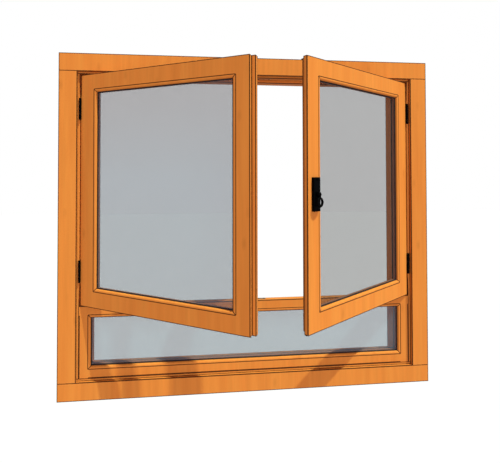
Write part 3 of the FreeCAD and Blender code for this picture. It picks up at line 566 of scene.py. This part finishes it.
def black_coating():
    """Black powder coating: a fine orange peel, slightly worn lighter in places."""
    coat = bpy.context.scene.window_ironmongery.coating
    worn = [min(1.0, 2.2 * channel) for channel in coat]
    finish = Finish("black_hardware")
    peel = finish.noise(finish.coordinates, scale=1400, detail=2)
    wear = finish.noise(finish.coordinates, scale=90, detail=4)
    finish.bumped(peel, distance=0.00012, strength=0.35)
    colour = finish.blend(finish.ranged(wear, 0.5, 0.75, 0, 1), coat, worn)
    return finish.set(Base_Color=colour, Roughness=finish.varied(wear, 0.45, 0.6),
                      Specular_IOR_Level=0.025)


def zinc_steel():
    """Yellow zinc-plated steel, brushed along its length."""
    finish = Finish("lock_steel")
    brushed = finish.noise(finish.stretched((1, 1, 0.05)), scale=1500, detail=2)
    cloud = finish.noise(finish.coordinates, scale=60)
    colour = finish.blend(cloud, (0.40, 0.24, 0.09), (0.54, 0.34, 0.15))
    finish.bumped(brushed, distance=0.00005, strength=0.3)
    return finish.set(Base_Color=colour, Metallic=1.0,
                      Roughness=finish.varied(brushed, 0.28, 0.42))


def moulded(name, dark, pale, scale=240, detail=3, relief=0.3, rough=(0.45, 0.6), **sockets):
    """Moulded plastic or rubber: one fine noise raises it and varies its colour and gloss."""
    finish = Finish(name)
    grain = finish.noise(finish.coordinates, scale, detail)
    finish.bumped(grain, distance=0.0001, strength=relief)
    return finish.set(Base_Color=finish.blend(grain, dark, pale),
                      Roughness=finish.varied(grain, *rough), **sockets)


FINISHES = {}


def finish_of(slot):
    """The finish of a material slot, made once."""
    glass = bpy.context.scene.window_glass
    makers = {
        **{name: lambda: stained_timber(slot, GRAIN_SHIFTS[slot]) for name in GRAIN_SHIFTS},
        **{name: lambda: moulded(slot, **MOULDED[slot]) for name in MOULDED},
        "glass": lambda: window_glass("window_glass", glass.tint_and_reflection, glass.warm_tint_and_reflection, glass.cover),
        "neutral_glass": lambda: window_glass("neutral_glass", glass.neutral_tint,
                                              glass.neutral_tint, glass.neutral_cover),
        "black_hardware": black_coating,
        "lock_steel": zinc_steel,
    }
    if slot not in FINISHES:
        FINISHES[slot] = makers[slot]()
    return FINISHES[slot]


def refinish(slot, *nodes):
    """Gives carried-over CAD nodes a finish."""
    for node in nodes:
        for place in frame["nodes"][node].material_slots:
            place.material = finish_of(slot)


# ---- settings

class TimberSettings(PropertyGroup):
    """Sizes and colours of the timber."""
    arris: FloatProperty(
        name="Arris", description="Radius of the eased edges", default=0.0011, min=0.0003, max=0.002,
        unit="LENGTH")
    # The width of the dark line painted along each eased edge.
    line_width: FloatProperty(
        name="Line", description="Width over which an edge's stain fades", default=0.0022, min=0.0003,
        max=0.004, unit="LENGTH")
    line_strength: FloatProperty(
        name="Line strength", description="How dark the eased edges are", default=0.93, min=0.0, max=1.0,
        subtype="FACTOR")
    band_contrast: FloatProperty(
        name="Band contrast", description="Strength of the grain bands", default=0.05, min=0.0, max=0.3,
        subtype="FACTOR")
    light_timber: FloatVectorProperty(
        name="Light timber", description="Colour of the pale bands", default=(0.715, 0.240, 0.0400),
        size=3, subtype="COLOR")
    warm_timber: FloatVectorProperty(
        name="Warm timber", description="Colour of the warm bands", default=(0.690, 0.215, 0.0350),
        size=3, subtype="COLOR")
    line_colour: FloatVectorProperty(
        name="Edge colour", description="Colour of the eased edges", default=(0.045, 0.016, 0.006),
        size=3, subtype="COLOR")


class GlassSettings(PropertyGroup):
    """Look of the glass."""
    # The glass's colours low and high are its tint with a painted reflection, bluer low down.
    tint_and_reflection: FloatVectorProperty(
        name="Tint", description="Colour of the glass low down", default=(0.105, 0.172, 0.210), size=3,
        subtype="COLOR")
    warm_tint_and_reflection: FloatVectorProperty(
        name="Warm tint", description="Colour of the glass high up", default=(0.110, 0.110, 0.118),
        size=3, subtype="COLOR")
    neutral_tint: FloatVectorProperty(
        name="Neutral tint", description="Right sash's colour", default=(0.030, 0.034, 0.034), size=3,
        subtype="COLOR")
    neutral_cover: FloatProperty(
        name="Neutral cover", description="Right sash's cover", default=0.195, min=0.0, max=1.0,
        subtype="FACTOR")
    cover: FloatProperty(
        name="Cover", description="Share of each face that stops light", default=0.215, min=0.0, max=1.0,
        subtype="FACTOR")
    gloss: FloatProperty(
        name="Gloss", description="Strength of the reflections", default=0.02, min=0.0, max=1.0,
        subtype="FACTOR")
    bead_round: FloatProperty(
        name="Bead round", description="Radius of the bead's front edge", default=0.006, min=0.001,
        max=0.0075, unit="LENGTH")


class IronmongerySettings(PropertyGroup):
    """Look of the hinges and the handle."""
    coating: FloatVectorProperty(
        name="Coating", description="Colour of the coated metal", default=(0.0007, 0.0007, 0.0007),
        size=3, subtype="COLOR")
    plate_round: FloatProperty(
        name="Plate round", description="Radius of the plate's edges", default=0.0025, min=0.0005,
        max=0.004, unit="LENGTH")


class StudioSettings(PropertyGroup):
    """Floor and light."""
    key: FloatProperty(
        name="Key light", description="Strength of the light that casts shadows", default=3.5, min=0.0,
        max=20.0)
    fill: FloatProperty(
        name="Fill light", description="Strength of the light without shadows", default=0.85, min=0.0,
        max=20.0)
    ambient: FloatProperty(
        name="Ambient", description="Strength of the light from all sides", default=0.58, min=0.0,
        max=5.0)
    drop: FloatProperty(
        name="Floor drop", description="How far the floor lies below the window", default=0.95, min=0.0,
        max=3.0, unit="LENGTH")


# ---- casing

def casing_section(front, back, outer, inner, edge):
    """A board's section as (depth, across) corners, its back thinned where it laps the frame,
    from the frame's edge to the board's inner side."""
    thin = back - CASING_REBATE
    return [(front, outer), (front, inner), (thin, inner), (thin, edge), (back, edge),
            (back, outer)]


class CASEMENT_OT_casing(Operator):
    """Head and bottom boards over the full width, with the side boards between them"""
    bl_idname = "casement.casing"
    bl_label = "Casing boards"

    def execute(self, context):
        frame_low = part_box("frame_sill")[0]
        frame_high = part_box("frame_head")[1]
        lines = full_lines(0, 1, 2)
        # Corner 2, where the board's thinned back meets the frame, gets a doubled dark line: painted
        # shade for the shadow gap in that crease.
        for name, lying, first in (("bottom_casing", True, True), ("head_casing", True, False),
                                   ("left_casing", False, True), ("right_casing", False, False)):
            low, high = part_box(name)
            outer, inner, edge = (low, high, frame_low) if first else (high, low, frame_high)
            if lying:
                section = casing_section(low.y, high.y, outer.z, inner.z, edge.z)
                shell = carried(level, [section], (low.x, high.x), lines, painted_shade_corners=[2])
            else:
                section = casing_section(low.y, high.y, outer.x, inner.x, edge.x)
                shell = carried(upright, [[corner[::-1] for corner in section]],
                                (low.z, high.z), lines, SQUARE_ENDS, painted_shade_corners=[2])
            piece(name + "_board", name, [shell], "frame", "casing_wood")
        return {"FINISHED"}


# ---- outer frame

def leaf_recess(place, points, face, open_sides):
    """A box round the flat part of a hinge leaf, opened a little past some low sides."""
    flat = points[points[:, 1] > face - SLIGHT / 10]
    low, high = flat.min(0), flat.max(0)
    low[open_sides] -= OVERCUT
    return boxed(place, low, high)


def keep_pocket(keep, up):
    """The recess for a keep's plate and the round pocket behind its hole."""
    low, high = (np.array(corner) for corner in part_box(keep))
    side, outward_z = (0, 1) if up else (1, -1)
    face = (low, high)[side][2]
    centre = (low + high) / 2
    (low, high)[side][2] -= outward_z * OVERCUT
    reach = outward_z * KEEP_POCKET_DEPTH
    start, end = sorted((face - 0.1 * reach, face + reach))
    hole = turned(lambda a, b, s: upright(a + centre[0], b + centre[1], s),
                  [(KEEP_HOLE_RADIUS, start), (KEEP_HOLE_RADIUS, end)])
    return [boxed(upright, low, high)], [hole]


def fixing_bores(low, high):
    """Two screw holes through a jamb, in front of its stop."""
    y = FACE_Y + STOP_DEPTH - FIXING_TO_STOP
    middle = sum(corner.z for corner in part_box("left_hinge_stile")) / 2
    ends = (low.x - FIXING_OVERSHOOT, high.x + FIXING_OVERSHOOT)
    return [turned(lambda a, b, s: level(a + y, b + middle + rise, s),
                   [(FIXING_RADIUS, end) for end in ends])
            for rise in (-FIXING_RISE, FIXING_RISE)]


def frame_piece(name, node, shell, cuts=()):
    """A timber of the frame in place of a CAD node."""
    piece(name, node, [shell], "frame", "frame_wood", cuts)


class CASEMENT_OT_outer_frame(Operator):
    """Head, sill and jambs, with the stops that the sashes close against"""
    bl_idname = "casement.outer_frame"
    bl_label = "Outer frame"

    def execute(self, context):
        sill_low, sill_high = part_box("frame_sill")
        head_low, head_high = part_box("frame_head")
        under = head_low.z + STOP_HEIGHT
        stop_y = FACE_Y + STOP_DEPTH
        inner = min(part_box("transom")[1].x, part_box("fixed_right_stile")[1].x)
        front, back = head_low.y, head_high.y
        sill = [(front, sill_low.z), (front, sill_high.z), (back, sill_high.z), (back, sill_low.z)]
        shell = carried(level, [sill], (sill_low.x, sill_high.x), full_lines(1))
        frame_piece("sill_bar", "frame_sill", shell)
        plain = [(front, under), (front, head_high.z), (back, head_high.z), (back, under - SLIGHT),
                 (stop_y, under - SLIGHT), (stop_y, under)]
        stopped = plain[:3] + [(back, head_low.z), (stop_y, head_low.z), (stop_y, under)]
        lines = full_lines(0, 3, 4)
        shell = carried(level, [plain, stopped, plain], (head_low.x, head_high.x), lines,
                        steps=(-inner, inner))
        frame_piece("head_bar", "frame_head", shell, keep_pocket("upper_keep", True))
        stop_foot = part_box("transom")[1].z - TRANSOM_FALL - STOP_TUCK
        for prefix, side in (("left", -1), ("right", 1)):
            name = prefix + "_jamb"
            low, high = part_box(name)
            outer_x = side * head_high.x
            face_x = side * inner
            stop_x = high.x if side < 0 else low.x
            thin_x = side * (inner - SLIGHT)
            plain = [(face_x, front), (outer_x, front), (outer_x, back), (thin_x, back),
                     (thin_x, stop_y), (face_x, stop_y)]
            stopped = plain[:3] + [(stop_x, back), (stop_x, stop_y), (face_x, stop_y)]
            shell = carried(upright, [plain, stopped, plain], (sill_high.z, under), lines,
                            SQUARE_ENDS, (stop_foot, head_low.z - STEP_LENGTH))
            leaves = [leaf_recess(upright, node_points(f"{prefix}_{tier}_frame_leaf"), FACE_Y, [1])
                      for tier in ("upper", "lower")]
            frame_piece(name + "_post", name, shell, (leaves, fixing_bores(low, high)))
        return {"FINISHED"}


class CASEMENT_OT_fixed_light(Operator):
    """The transom and the three members round the fixed glass"""
    bl_idname = "casement.fixed_light"
    bl_label = "Fixed light"

    def execute(self, context):
        stile_low, stile_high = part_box("fixed_right_stile")
        inner, back = stile_high.x, stile_high.y - SLIGHT
        rebate_y = FACE_Y + FIXED_REBATE
        wall_x = stile_low.x + BEAD_WIDTH
        low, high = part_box("transom")
        under = low.z + BEAD_WIDTH
        transom = [(FACE_Y, under), (FACE_Y, high.z), (FACE_Y + TRANSOM_FLAT, high.z),
                   (back, high.z - TRANSOM_FALL), (back, low.z), (rebate_y, low.z),
                   (rebate_y, under)]
        lines = full_lines(1, 2, 4, 5) | {0: (-wall_x, wall_x)}
        shell = carried(level, [transom], (-inner, inner), lines, SQUARE_ENDS)
        frame_piece("transom_bar", "transom", shell, keep_pocket("lower_keep", False))
        rail_low, rail_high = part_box("fixed_bottom_rail")
        wall_z = rail_high.z - BEAD_WIDTH
        rail = [(FACE_Y, rail_low.z), (FACE_Y, wall_z), (rebate_y, wall_z), (rebate_y, rail_high.z),
                (rebate_y + SILL_LEDGE, rail_high.z), (back, rail_high.z - SILL_FALL),
                (back, rail_low.z)]
        shell = carried(level, [rail], (-wall_x, wall_x), full_lines(0, 1, 3, 4),
                        SQUARE_ENDS)
        frame_piece("fixed_rail_bar", "fixed_bottom_rail", shell)
        stile_back, stop_x = back - SLIGHT, wall_x - BEAD_WIDTH
        stile = [(wall_x, FACE_Y), (inner, FACE_Y), (inner, stile_back), (stop_x, stile_back),
                 (stop_x, rebate_y), (wall_x, rebate_y)]
        lines = full_lines(1) | dict.fromkeys((0, 3, 4), (wall_z, BEYOND))
        for name, side in (("fixed_left_stile", -1), ("fixed_right_stile", 1)):
            section = [(side * x, y) for x, y in stile]
            shell = carried(upright, [section], (rail_low.z, under), lines, SQUARE_ENDS)
            frame_piece(name + "_bar", name, shell)
        return {"FINISHED"}


# ---- sashes

def splayed_stop(wall, edge, thickness):
    """The stop behind the glass as (across, depth) corners from the rebate wall to the back."""
    foot = wall + math.copysign(STOP_FOOT, edge - wall)
    return [(wall, SASH_REBATE), (edge, SASH_REBATE), (edge, SASH_REBATE + STOP_EDGE),
            (foot, thickness)]


def sash_timber(sash):
    """Stiles with their lip or tongue, and rails between them, all rebated for the glass."""
    name = sash.prefix + "_"
    hinge_low, hinge_high = sash.limits(name + "hinge_stile")
    bead_low, bead_high = sash.limits(name + "glazing_beads")
    thickness = hinge_high[1]
    foot, top = hinge_low[2], hinge_high[2]
    glass_zone = (bead_low[2], bead_high[2])
    stop_zone = (bead_low[2] + BEAD_WIDTH, bead_high[2] - BEAD_WIDTH)
    hinge_wall, meet_wall = bead_low[0], bead_high[0]
    edge = hinge_low[0]
    stop = splayed_stop(hinge_wall, hinge_wall + BEAD_WIDTH, thickness)
    section = [(edge, 0), (hinge_wall, 0)] + stop + [(edge, thickness)]
    lines = full_lines(0, 6) | {1: glass_zone, 3: stop_zone, 4: stop_zone}
    shell = carried(sash.spot, [section], (foot, top), lines)
    leaves = [leaf_recess(sash.spot, sash.closed(name + tier + "_sash_leaf"), 0, [0, 1])
              for tier in ("upper", "lower")]
    piece(name + "hinge_stile_bar", name + "hinge_stile", [shell], sash.body, "sash_wood",
          [leaves])
    far = sash.limits(name + "meeting_stile")[1][0]
    cuts = []
    if sash is LEFT_SASH:
        front = far - TONGUE_LENGTH
        section = [(meet_wall, 0), (front, 0), (front, TONGUE_DEPTH), (far, TONGUE_DEPTH),
                   (far, thickness)]
    else:
        rear = far - LIP_LENGTH
        section = [(meet_wall, 0), (far, 0), (far, LIP_THICKNESS), (rear, LIP_THICKNESS),
                   (rear, thickness)]
        cuts = lock_passages(sash)
    section += splayed_stop(meet_wall, meet_wall - BEAD_WIDTH, thickness)[::-1]
    lines = full_lines(1, 2, 3, 4) | {0: glass_zone, 6: stop_zone, 7: stop_zone}
    shell = carried(sash.spot, [section], (foot, top), lines)
    piece(name + "meeting_stile_bar", name + "meeting_stile", [shell], sash.body, "sash_wood",
          cuts)
    back = thickness - SLIGHT
    between = (hinge_wall + BEAD_WIDTH, meet_wall - BEAD_WIDTH)
    lines = full_lines(0, 1, 2) | {4: between, 5: between}
    for rail, wall, edge, outside in (
            ("top_rail", bead_high[2], stop_zone[1], top),
            ("bottom_rail", bead_low[2], stop_zone[0], foot)):
        section = [(0, wall), (0, outside), (back, outside)]
        section += [(d, z) for z, d in splayed_stop(wall, edge, back)[::-1]]
        shell = carried(sash.level, [section], (hinge_wall, meet_wall), lines, SQUARE_ENDS)
        piece(name + rail + "_bar", name + rail, [shell], sash.body, "sash_wood")


def lock_passages(sash):
    """The gear case's pocket and the two rod bores in the meeting stile."""
    case_low, case_high = sash.limits("gearbox_case")
    case_low = np.array([case_low[0], -OVERCUT, case_low[2]])
    cuts = [[boxed(sash.spot, case_low, case_high)]]
    for rod, up in (("upper_rod", True), ("lower_rod", False)):
        points = sash.closed(rod)
        tip = points[:, 2].max() if up else points[:, 2].min()
        ring = points[np.abs(points[:, 2] - tip) < SLIGHT]
        centre = (ring.min(0) + ring.max(0)) / 2
        inside = (case_low[2] + case_high[2]) / 2
        outside = tip + (ROD_BORE_OVERSHOOT if up else -ROD_BORE_OVERSHOOT)
        bore = turned(lambda a, b, s: sash.spot(a + centre[0], b + centre[1], s),
                      [(ROD_BORE_RADIUS, end) for end in sorted((inside, outside))], 24)
        cuts.append([bore])
    return cuts


class CASEMENT_OT_left_sash(Operator):
    """Stiles and rails of the left sash"""
    bl_idname = "casement.left_sash"
    bl_label = "Left sash"

    def execute(self, context):
        sash_timber(LEFT_SASH)
        return {"FINISHED"}


class CASEMENT_OT_right_sash(Operator):
    """Stiles and rails of the right sash"""
    bl_idname = "casement.right_sash"
    bl_label = "Right sash"

    def execute(self, context):
        sash_timber(RIGHT_SASH)
        return {"FINISHED"}


# ---- glazing

def lights():
    """The three glazed openings: name, placing, body and the rebate walls' limits."""
    for sash in (LEFT_SASH, RIGHT_SASH):
        low, high = sash.limits(sash.prefix + "_glazing_beads")
        yield sash.prefix, sash.spot, sash.body, ((low[0], low[2]), (high[0], high[2]))
    low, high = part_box("fixed_glazing_beads")
    yield "fixed", fixed_spot, "frame", ((low.x, low.z), (high.x, high.z))


def bead_profile():
    """Square at the rebate, and a quarter round at the front towards the glass."""
    radius = bpy.context.scene.window_glass.bead_round
    angle = np.linspace(0, math.pi / 2, 7)
    rounded = np.stack([BEAD_WIDTH - radius + radius * np.sin(angle),
                        radius - radius * np.cos(angle)], -1)
    plain = np.array([(BEAD_WIDTH, BEAD_DEPTH), (0, BEAD_DEPTH), (0, SLIGHT), (SLIGHT, 0)])
    return np.concatenate([rounded, plain])


class CASEMENT_OT_glazing_beads(Operator):
    """Rounded beads, mitred at the corners of each light"""
    bl_idname = "casement.glazing_beads"
    bl_label = "Glazing beads"

    def execute(self, context):
        profile = bead_profile()
        for prefix, spot, body, limits in lights():
            piece(prefix + "_beads", prefix + "_glazing_beads",
                  looped(spot, limits, profile, 1.0), body, "bead_wood")
        return {"FINISHED"}


class CASEMENT_OT_gaskets(Operator):
    """A lipped gasket in front of each glass unit and a flat one behind it"""
    bl_idname = "casement.gaskets"
    bl_label = "Gaskets and weather seals"

    def execute(self, context):
        wide = BEAD_WIDTH + GASKET_SIGHT
        lip = GASKET_DEPTH / 2
        for prefix, spot, body, limits in lights():
            rebate = FIXED_REBATE if prefix == "fixed" else SASH_REBATE
            glass = rebate - REAR_GASKET_DEPTH
            front = np.array([(0, BEAD_DEPTH), (wide - 2 * lip, BEAD_DEPTH),
                              (wide - lip * 0.6, BEAD_DEPTH + lip * 0.5),
                              (wide, BEAD_DEPTH + lip * 1.4), (wide, BEAD_DEPTH + GASKET_DEPTH),
                              (0, BEAD_DEPTH + GASKET_DEPTH)])
            rear = np.array([(0, glass), (BEAD_WIDTH, glass), (BEAD_WIDTH, rebate), (0, rebate)])
            shells = looped(spot, limits, front, 0.0) + looped(spot, limits, rear, 0.0)
            piece(prefix + "_gasket_rings", prefix + "_gaskets", shells, body, "seal_rubber")
        refinish("seal_rubber", "left_weather_seals", "right_weather_seals")
        return {"FINISHED"}


class CASEMENT_OT_glass_units(Operator):
    """Panes, spacer bars and setting blocks"""
    bl_idname = "casement.glass_units"
    bl_label = "Glass units"

    def execute(self, context):
        for prefix in ("left", "right", "fixed"):
            refinish("neutral_glass" if prefix == "right" else "glass", prefix + "_panes")
            frame["nodes"][prefix + "_panes"].visible_shadow = False
            refinish("spacer_plastic", prefix + "_spacer")
            refinish("packer_plastic", prefix + "_setting_blocks")
        return {"FINISHED"}


# ---- ironmongery

class CASEMENT_OT_hinges(Operator):
    """Coated finish for the hinge leaves, pins and screws"""
    bl_idname = "casement.hinges"
    bl_label = "Hinges"

    def execute(self, context):
        for prefix in ("left", "right"):
            for part in ("upper_frame_leaf", "upper_sash_leaf", "lower_frame_leaf",
                         "lower_sash_leaf", "hinge_screws"):
                refinish("black_hardware", prefix + "_" + part)
        refinish("black_hardware", "hinge_pins", "frame_screws")
        return {"FINISHED"}


def rounded_plate(sash, low, high, radius):
    """A plate whose outline is a rectangle with round corners, and whose front edge rolls over:
    the outline shrinks by radius times one less the cosine while the front rises by the sine."""
    turn = np.linspace(0, math.pi / 2, 7)
    corner = np.stack([np.cos(turn), np.sin(turn)], -1)
    quarter = [corner, corner[::-1] * (-1, 1), -corner, corner[::-1] * (1, -1)]
    centres = [(high[0] - radius, high[2] - radius), (low[0] + radius, high[2] - radius),
               (low[0] + radius, low[2] + radius), (high[0] - radius, low[2] + radius)]
    rings = [place_ring(sash, centres, quarter, radius, high[1])]
    for angle in turn:
        shrunk = radius * math.cos(angle)
        rings.append(place_ring(sash, centres, quarter, max(shrunk, radius / 20),
                                low[1] + radius * (1 - math.sin(angle))))
    return unlined(np.array(rings))


def place_ring(sash, centres, quarter, radius, depth):
    """Four quarter circles of one radius about four centres, at one depth."""
    outline = np.concatenate([np.array(c) + radius * q for c, q in zip(centres, quarter)])
    return sash.spot(outline[:, 0], np.full(len(outline), depth), outline[:, 1])


class CASEMENT_OT_handle(Operator):
    """The plate on the sash and the ring handle that turns in it"""
    bl_idname = "casement.handle"
    bl_label = "Handle"

    def execute(self, context):
        sash = RIGHT_SASH
        radius = context.scene.window_ironmongery.plate_round
        plate = rounded_plate(sash, *sash.limits("handle_plate"), radius)
        piece("handle_plate_cover", "handle_plate", [plate], sash.body, "black_hardware")
        ring_low, ring_high = sash.limits("ring_handle")
        spindle_low, spindle_high = sash.limits("handle_spindle")
        axis_w = (ring_low[0] + ring_high[0]) / 2
        axis_z = (spindle_low[2] + spindle_high[2]) / 2
        ring_d = ring_low[1] + RING_BAR
        reach = (ring_high[0] - ring_low[0]) / 2 - RING_BAR
        ring_z = ring_low[2] + RING_BAR + reach
        boss = turned(lambda a, b, s: sash.spot(a + axis_w, s, b + axis_z),
                      boss_profile(ring_high[1]), 48)
        neck = turned(lambda a, b, s: sash.spot(a + axis_w, b + ring_d, s),
                      [(RING_BAR, axis_z), (RING_BAR, ring_z + reach)], 24)
        ring = bent_ring(lambda a, b, s: sash.spot(a + axis_w, s + ring_d, b + ring_z), reach,
                         RING_BAR)
        piece("ring_pull", "ring_handle", [boss], "handle", "black_hardware",
              joins=([neck], [ring]))
        refinish("black_hardware", "handle_plate_screws")
        return {"FINISHED"}


def boss_profile(base):
    """The boss's (radius, depth) points: a straight side and a rolled front edge."""
    straight, front = BOSS_RADIUS - BOSS_ROLL, base - BOSS_LENGTH + BOSS_ROLL
    rolled = [(straight + BOSS_ROLL * math.cos(t), front - BOSS_ROLL * math.sin(t))
              for t in np.linspace(0, math.pi / 2, 6)]
    return [(BOSS_RADIUS, base)] + rolled


def bent_ring(place, reach, bar):
    """A round bar bent into a circle: radius reach plus bar times the cosine of one angle, and
    depth bar times its sine, swept round by the other angle."""
    around = np.linspace(0, 2 * math.pi, 56, endpoint=False)[:, None]
    about = np.linspace(0, 2 * math.pi, 20, endpoint=False)
    radius = reach + bar * np.cos(about)
    rings = place(radius * np.cos(around), radius * np.sin(around),
                  bar * np.sin(about) + 0 * around)
    points = rings.reshape(-1, 3)
    _, faces = stitched(np.concatenate([rings, rings[:1]]), close_ends=False)
    faces = [[index % len(points) for index in face] for face in faces]
    return points, faces, np.zeros(len(points))


class CASEMENT_OT_lock(Operator):
    """Plated finish for the gear case, pinion, rods and keeps"""
    bl_idname = "casement.lock"
    bl_label = "Lock"

    def execute(self, context):
        refinish("lock_steel", "gearbox_case", "gearbox_cover", "handle_spindle", "drive_pinion",
                 "upper_rod", "lower_rod", "upper_keep", "lower_keep")
        return {"FINISHED"}


# ---- stage

def sun(name, place, strength, colour, spread, shadow):
    """A distant light that shines from a direction, its spread in degrees."""
    data = bpy.data.lights.new(name, "SUN")
    data.color = colour
    data.energy = strength
    data.angle = math.radians(spread)
    data.use_shadow = shadow
    made = bpy.data.objects.new(name, data)
    x, y, z = place
    made.rotation_euler = (math.atan2(math.hypot(x, y), z), 0, math.atan2(x, -y))
    bpy.context.scene.collection.objects.link(made)


def white_surroundings(ambient):
    """A white backdrop to the eye, and an even light of the given strength on the window."""
    world = bpy.data.worlds.new("studio")
    bpy.context.scene.world = world
    world.use_nodes = True
    nodes, links = world.node_tree.nodes, world.node_tree.links
    lit = nodes["Background"]
    lit.inputs["Color"].default_value = SHADE_COLOUR + (1,)
    lit.inputs["Strength"].default_value = ambient
    seen = nodes.new("ShaderNodeBackground")
    seen.inputs["Color"].default_value = (1, 1, 1, 1)
    path = nodes.new("ShaderNodeLightPath")
    mixed = nodes.new("ShaderNodeMixShader")
    links.new(path.outputs["Is Camera Ray"], mixed.inputs[0])
    links.new(lit.outputs[0], mixed.inputs[1])
    links.new(seen.outputs[0], mixed.inputs[2])
    links.new(mixed.outputs[0], nodes["World Output"].inputs["Surface"])


def pale_floor(level_z):
    """A wide flat floor: four corners of a square at one height."""
    points = [(x * FLOOR_HALF, y * FLOOR_HALF, level_z)
              for x, y in ((-1, -1), (1, -1), (1, 1), (-1, 1))]
    mesh = bpy.data.meshes.new("floor")
    mesh.from_pydata(points, [], [(0, 1, 2, 3)])
    finish = Finish("pale_floor")
    cloud = finish.noise(finish.coordinates, scale=1.2, detail=2)
    colour = finish.blend(cloud, (0.10, 0.10, 0.10), (0.12, 0.12, 0.12))
    mesh.materials.append(finish.set(Base_Color=colour, Roughness=0.9, Specular_IOR_Level=0.0,
                                     Emission_Color=(1, 1, 1, 1), Emission_Strength=0.85))
    made = bpy.data.objects.new("floor", mesh)
    made.visible_diffuse = False
    made.visible_glossy = False
    bpy.context.scene.collection.objects.link(made)
    return made


class CASEMENT_OT_stage(Operator):
    """Camera, soft studio light and a pale floor"""
    bl_idname = "casement.stage"
    bl_label = "Stage"

    def execute(self, context):
        scene = context.scene
        studio = scene.window_studio
        data = bpy.data.cameras.new("camera")
        data.lens, data.sensor_width = LENS, SENSOR
        data.shift_x, data.shift_y = LENS_SHIFT
        camera = bpy.data.objects.new("camera", data)
        camera.location = CAMERA_PLACE
        camera.rotation_euler = [math.radians(angle) for angle in CAMERA_DEGREES]
        scene.collection.objects.link(camera)
        scene.camera = camera
        sun("key", KEY_FROM, studio.key, KEY_COLOUR, spread=1.0, shadow=True)
        sun("fill", FILL_FROM, studio.fill, SHADE_COLOUR, spread=20.0, shadow=False)
        white_surroundings(studio.ambient)
        pale_floor(CAD_BOX[0][2] - studio.drop)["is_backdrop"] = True
        scene.view_settings.view_transform = "Standard"
        return {"FINISHED"}


# ---- panel and registration

PIECES = ("stage", "casing", "outer_frame", "fixed_light", "left_sash", "right_sash",
          "glazing_beads", "gaskets", "glass_units", "hinges", "handle", "lock")


class CASEMENT_PT_window(Panel):
    """The window's pieces and settings in the sidebar"""
    bl_idname = "CASEMENT_PT_window"
    bl_label = "Casement Window"
    bl_space_type = "VIEW_3D"
    bl_region_type = "UI"
    bl_category = "Window"

    def draw(self, context):
        column = self.layout.column(align=True)
        for name in PIECES:
            column.operator("casement." + name)
        for group in SETTINGS:
            column.separator()
            owner = getattr(context.scene, group)
            for key in owner.__annotations__:
                column.prop(owner, key)


SETTINGS = {"window_timber": TimberSettings, "window_glass": GlassSettings,
            "window_ironmongery": IronmongerySettings, "window_studio": StudioSettings}
CLASSES = (*SETTINGS.values(), CASEMENT_OT_casing, CASEMENT_OT_outer_frame,
           CASEMENT_OT_fixed_light, CASEMENT_OT_left_sash, CASEMENT_OT_right_sash,
           CASEMENT_OT_glazing_beads, CASEMENT_OT_gaskets, CASEMENT_OT_glass_units,
           CASEMENT_OT_hinges, CASEMENT_OT_handle, CASEMENT_OT_lock, CASEMENT_OT_stage,
           CASEMENT_PT_window)


def register():
    """Registers the classes and hangs the settings on the scene."""
    for cls in CLASSES:
        bpy.utils.register_class(cls)
    for name, group in SETTINGS.items():
        setattr(bpy.types.Scene, name, PointerProperty(type=group))


def unregister():
    """Takes the settings and the classes away again."""
    for name in SETTINGS:
        delattr(bpy.types.Scene, name)
    for cls in reversed(CLASSES):
        bpy.utils.unregister_class(cls)


def main():
    """Builds every piece in order."""
    register()
    for name in PIECES:
        getattr(bpy.ops.casement, name)()
    boxes = {"cad": CAD_BOX, "visual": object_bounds()}
    plain = {key: [[float(value) for value in corner] for corner in box]
             for key, box in boxes.items()}


if __name__ == "__main__":
    main()
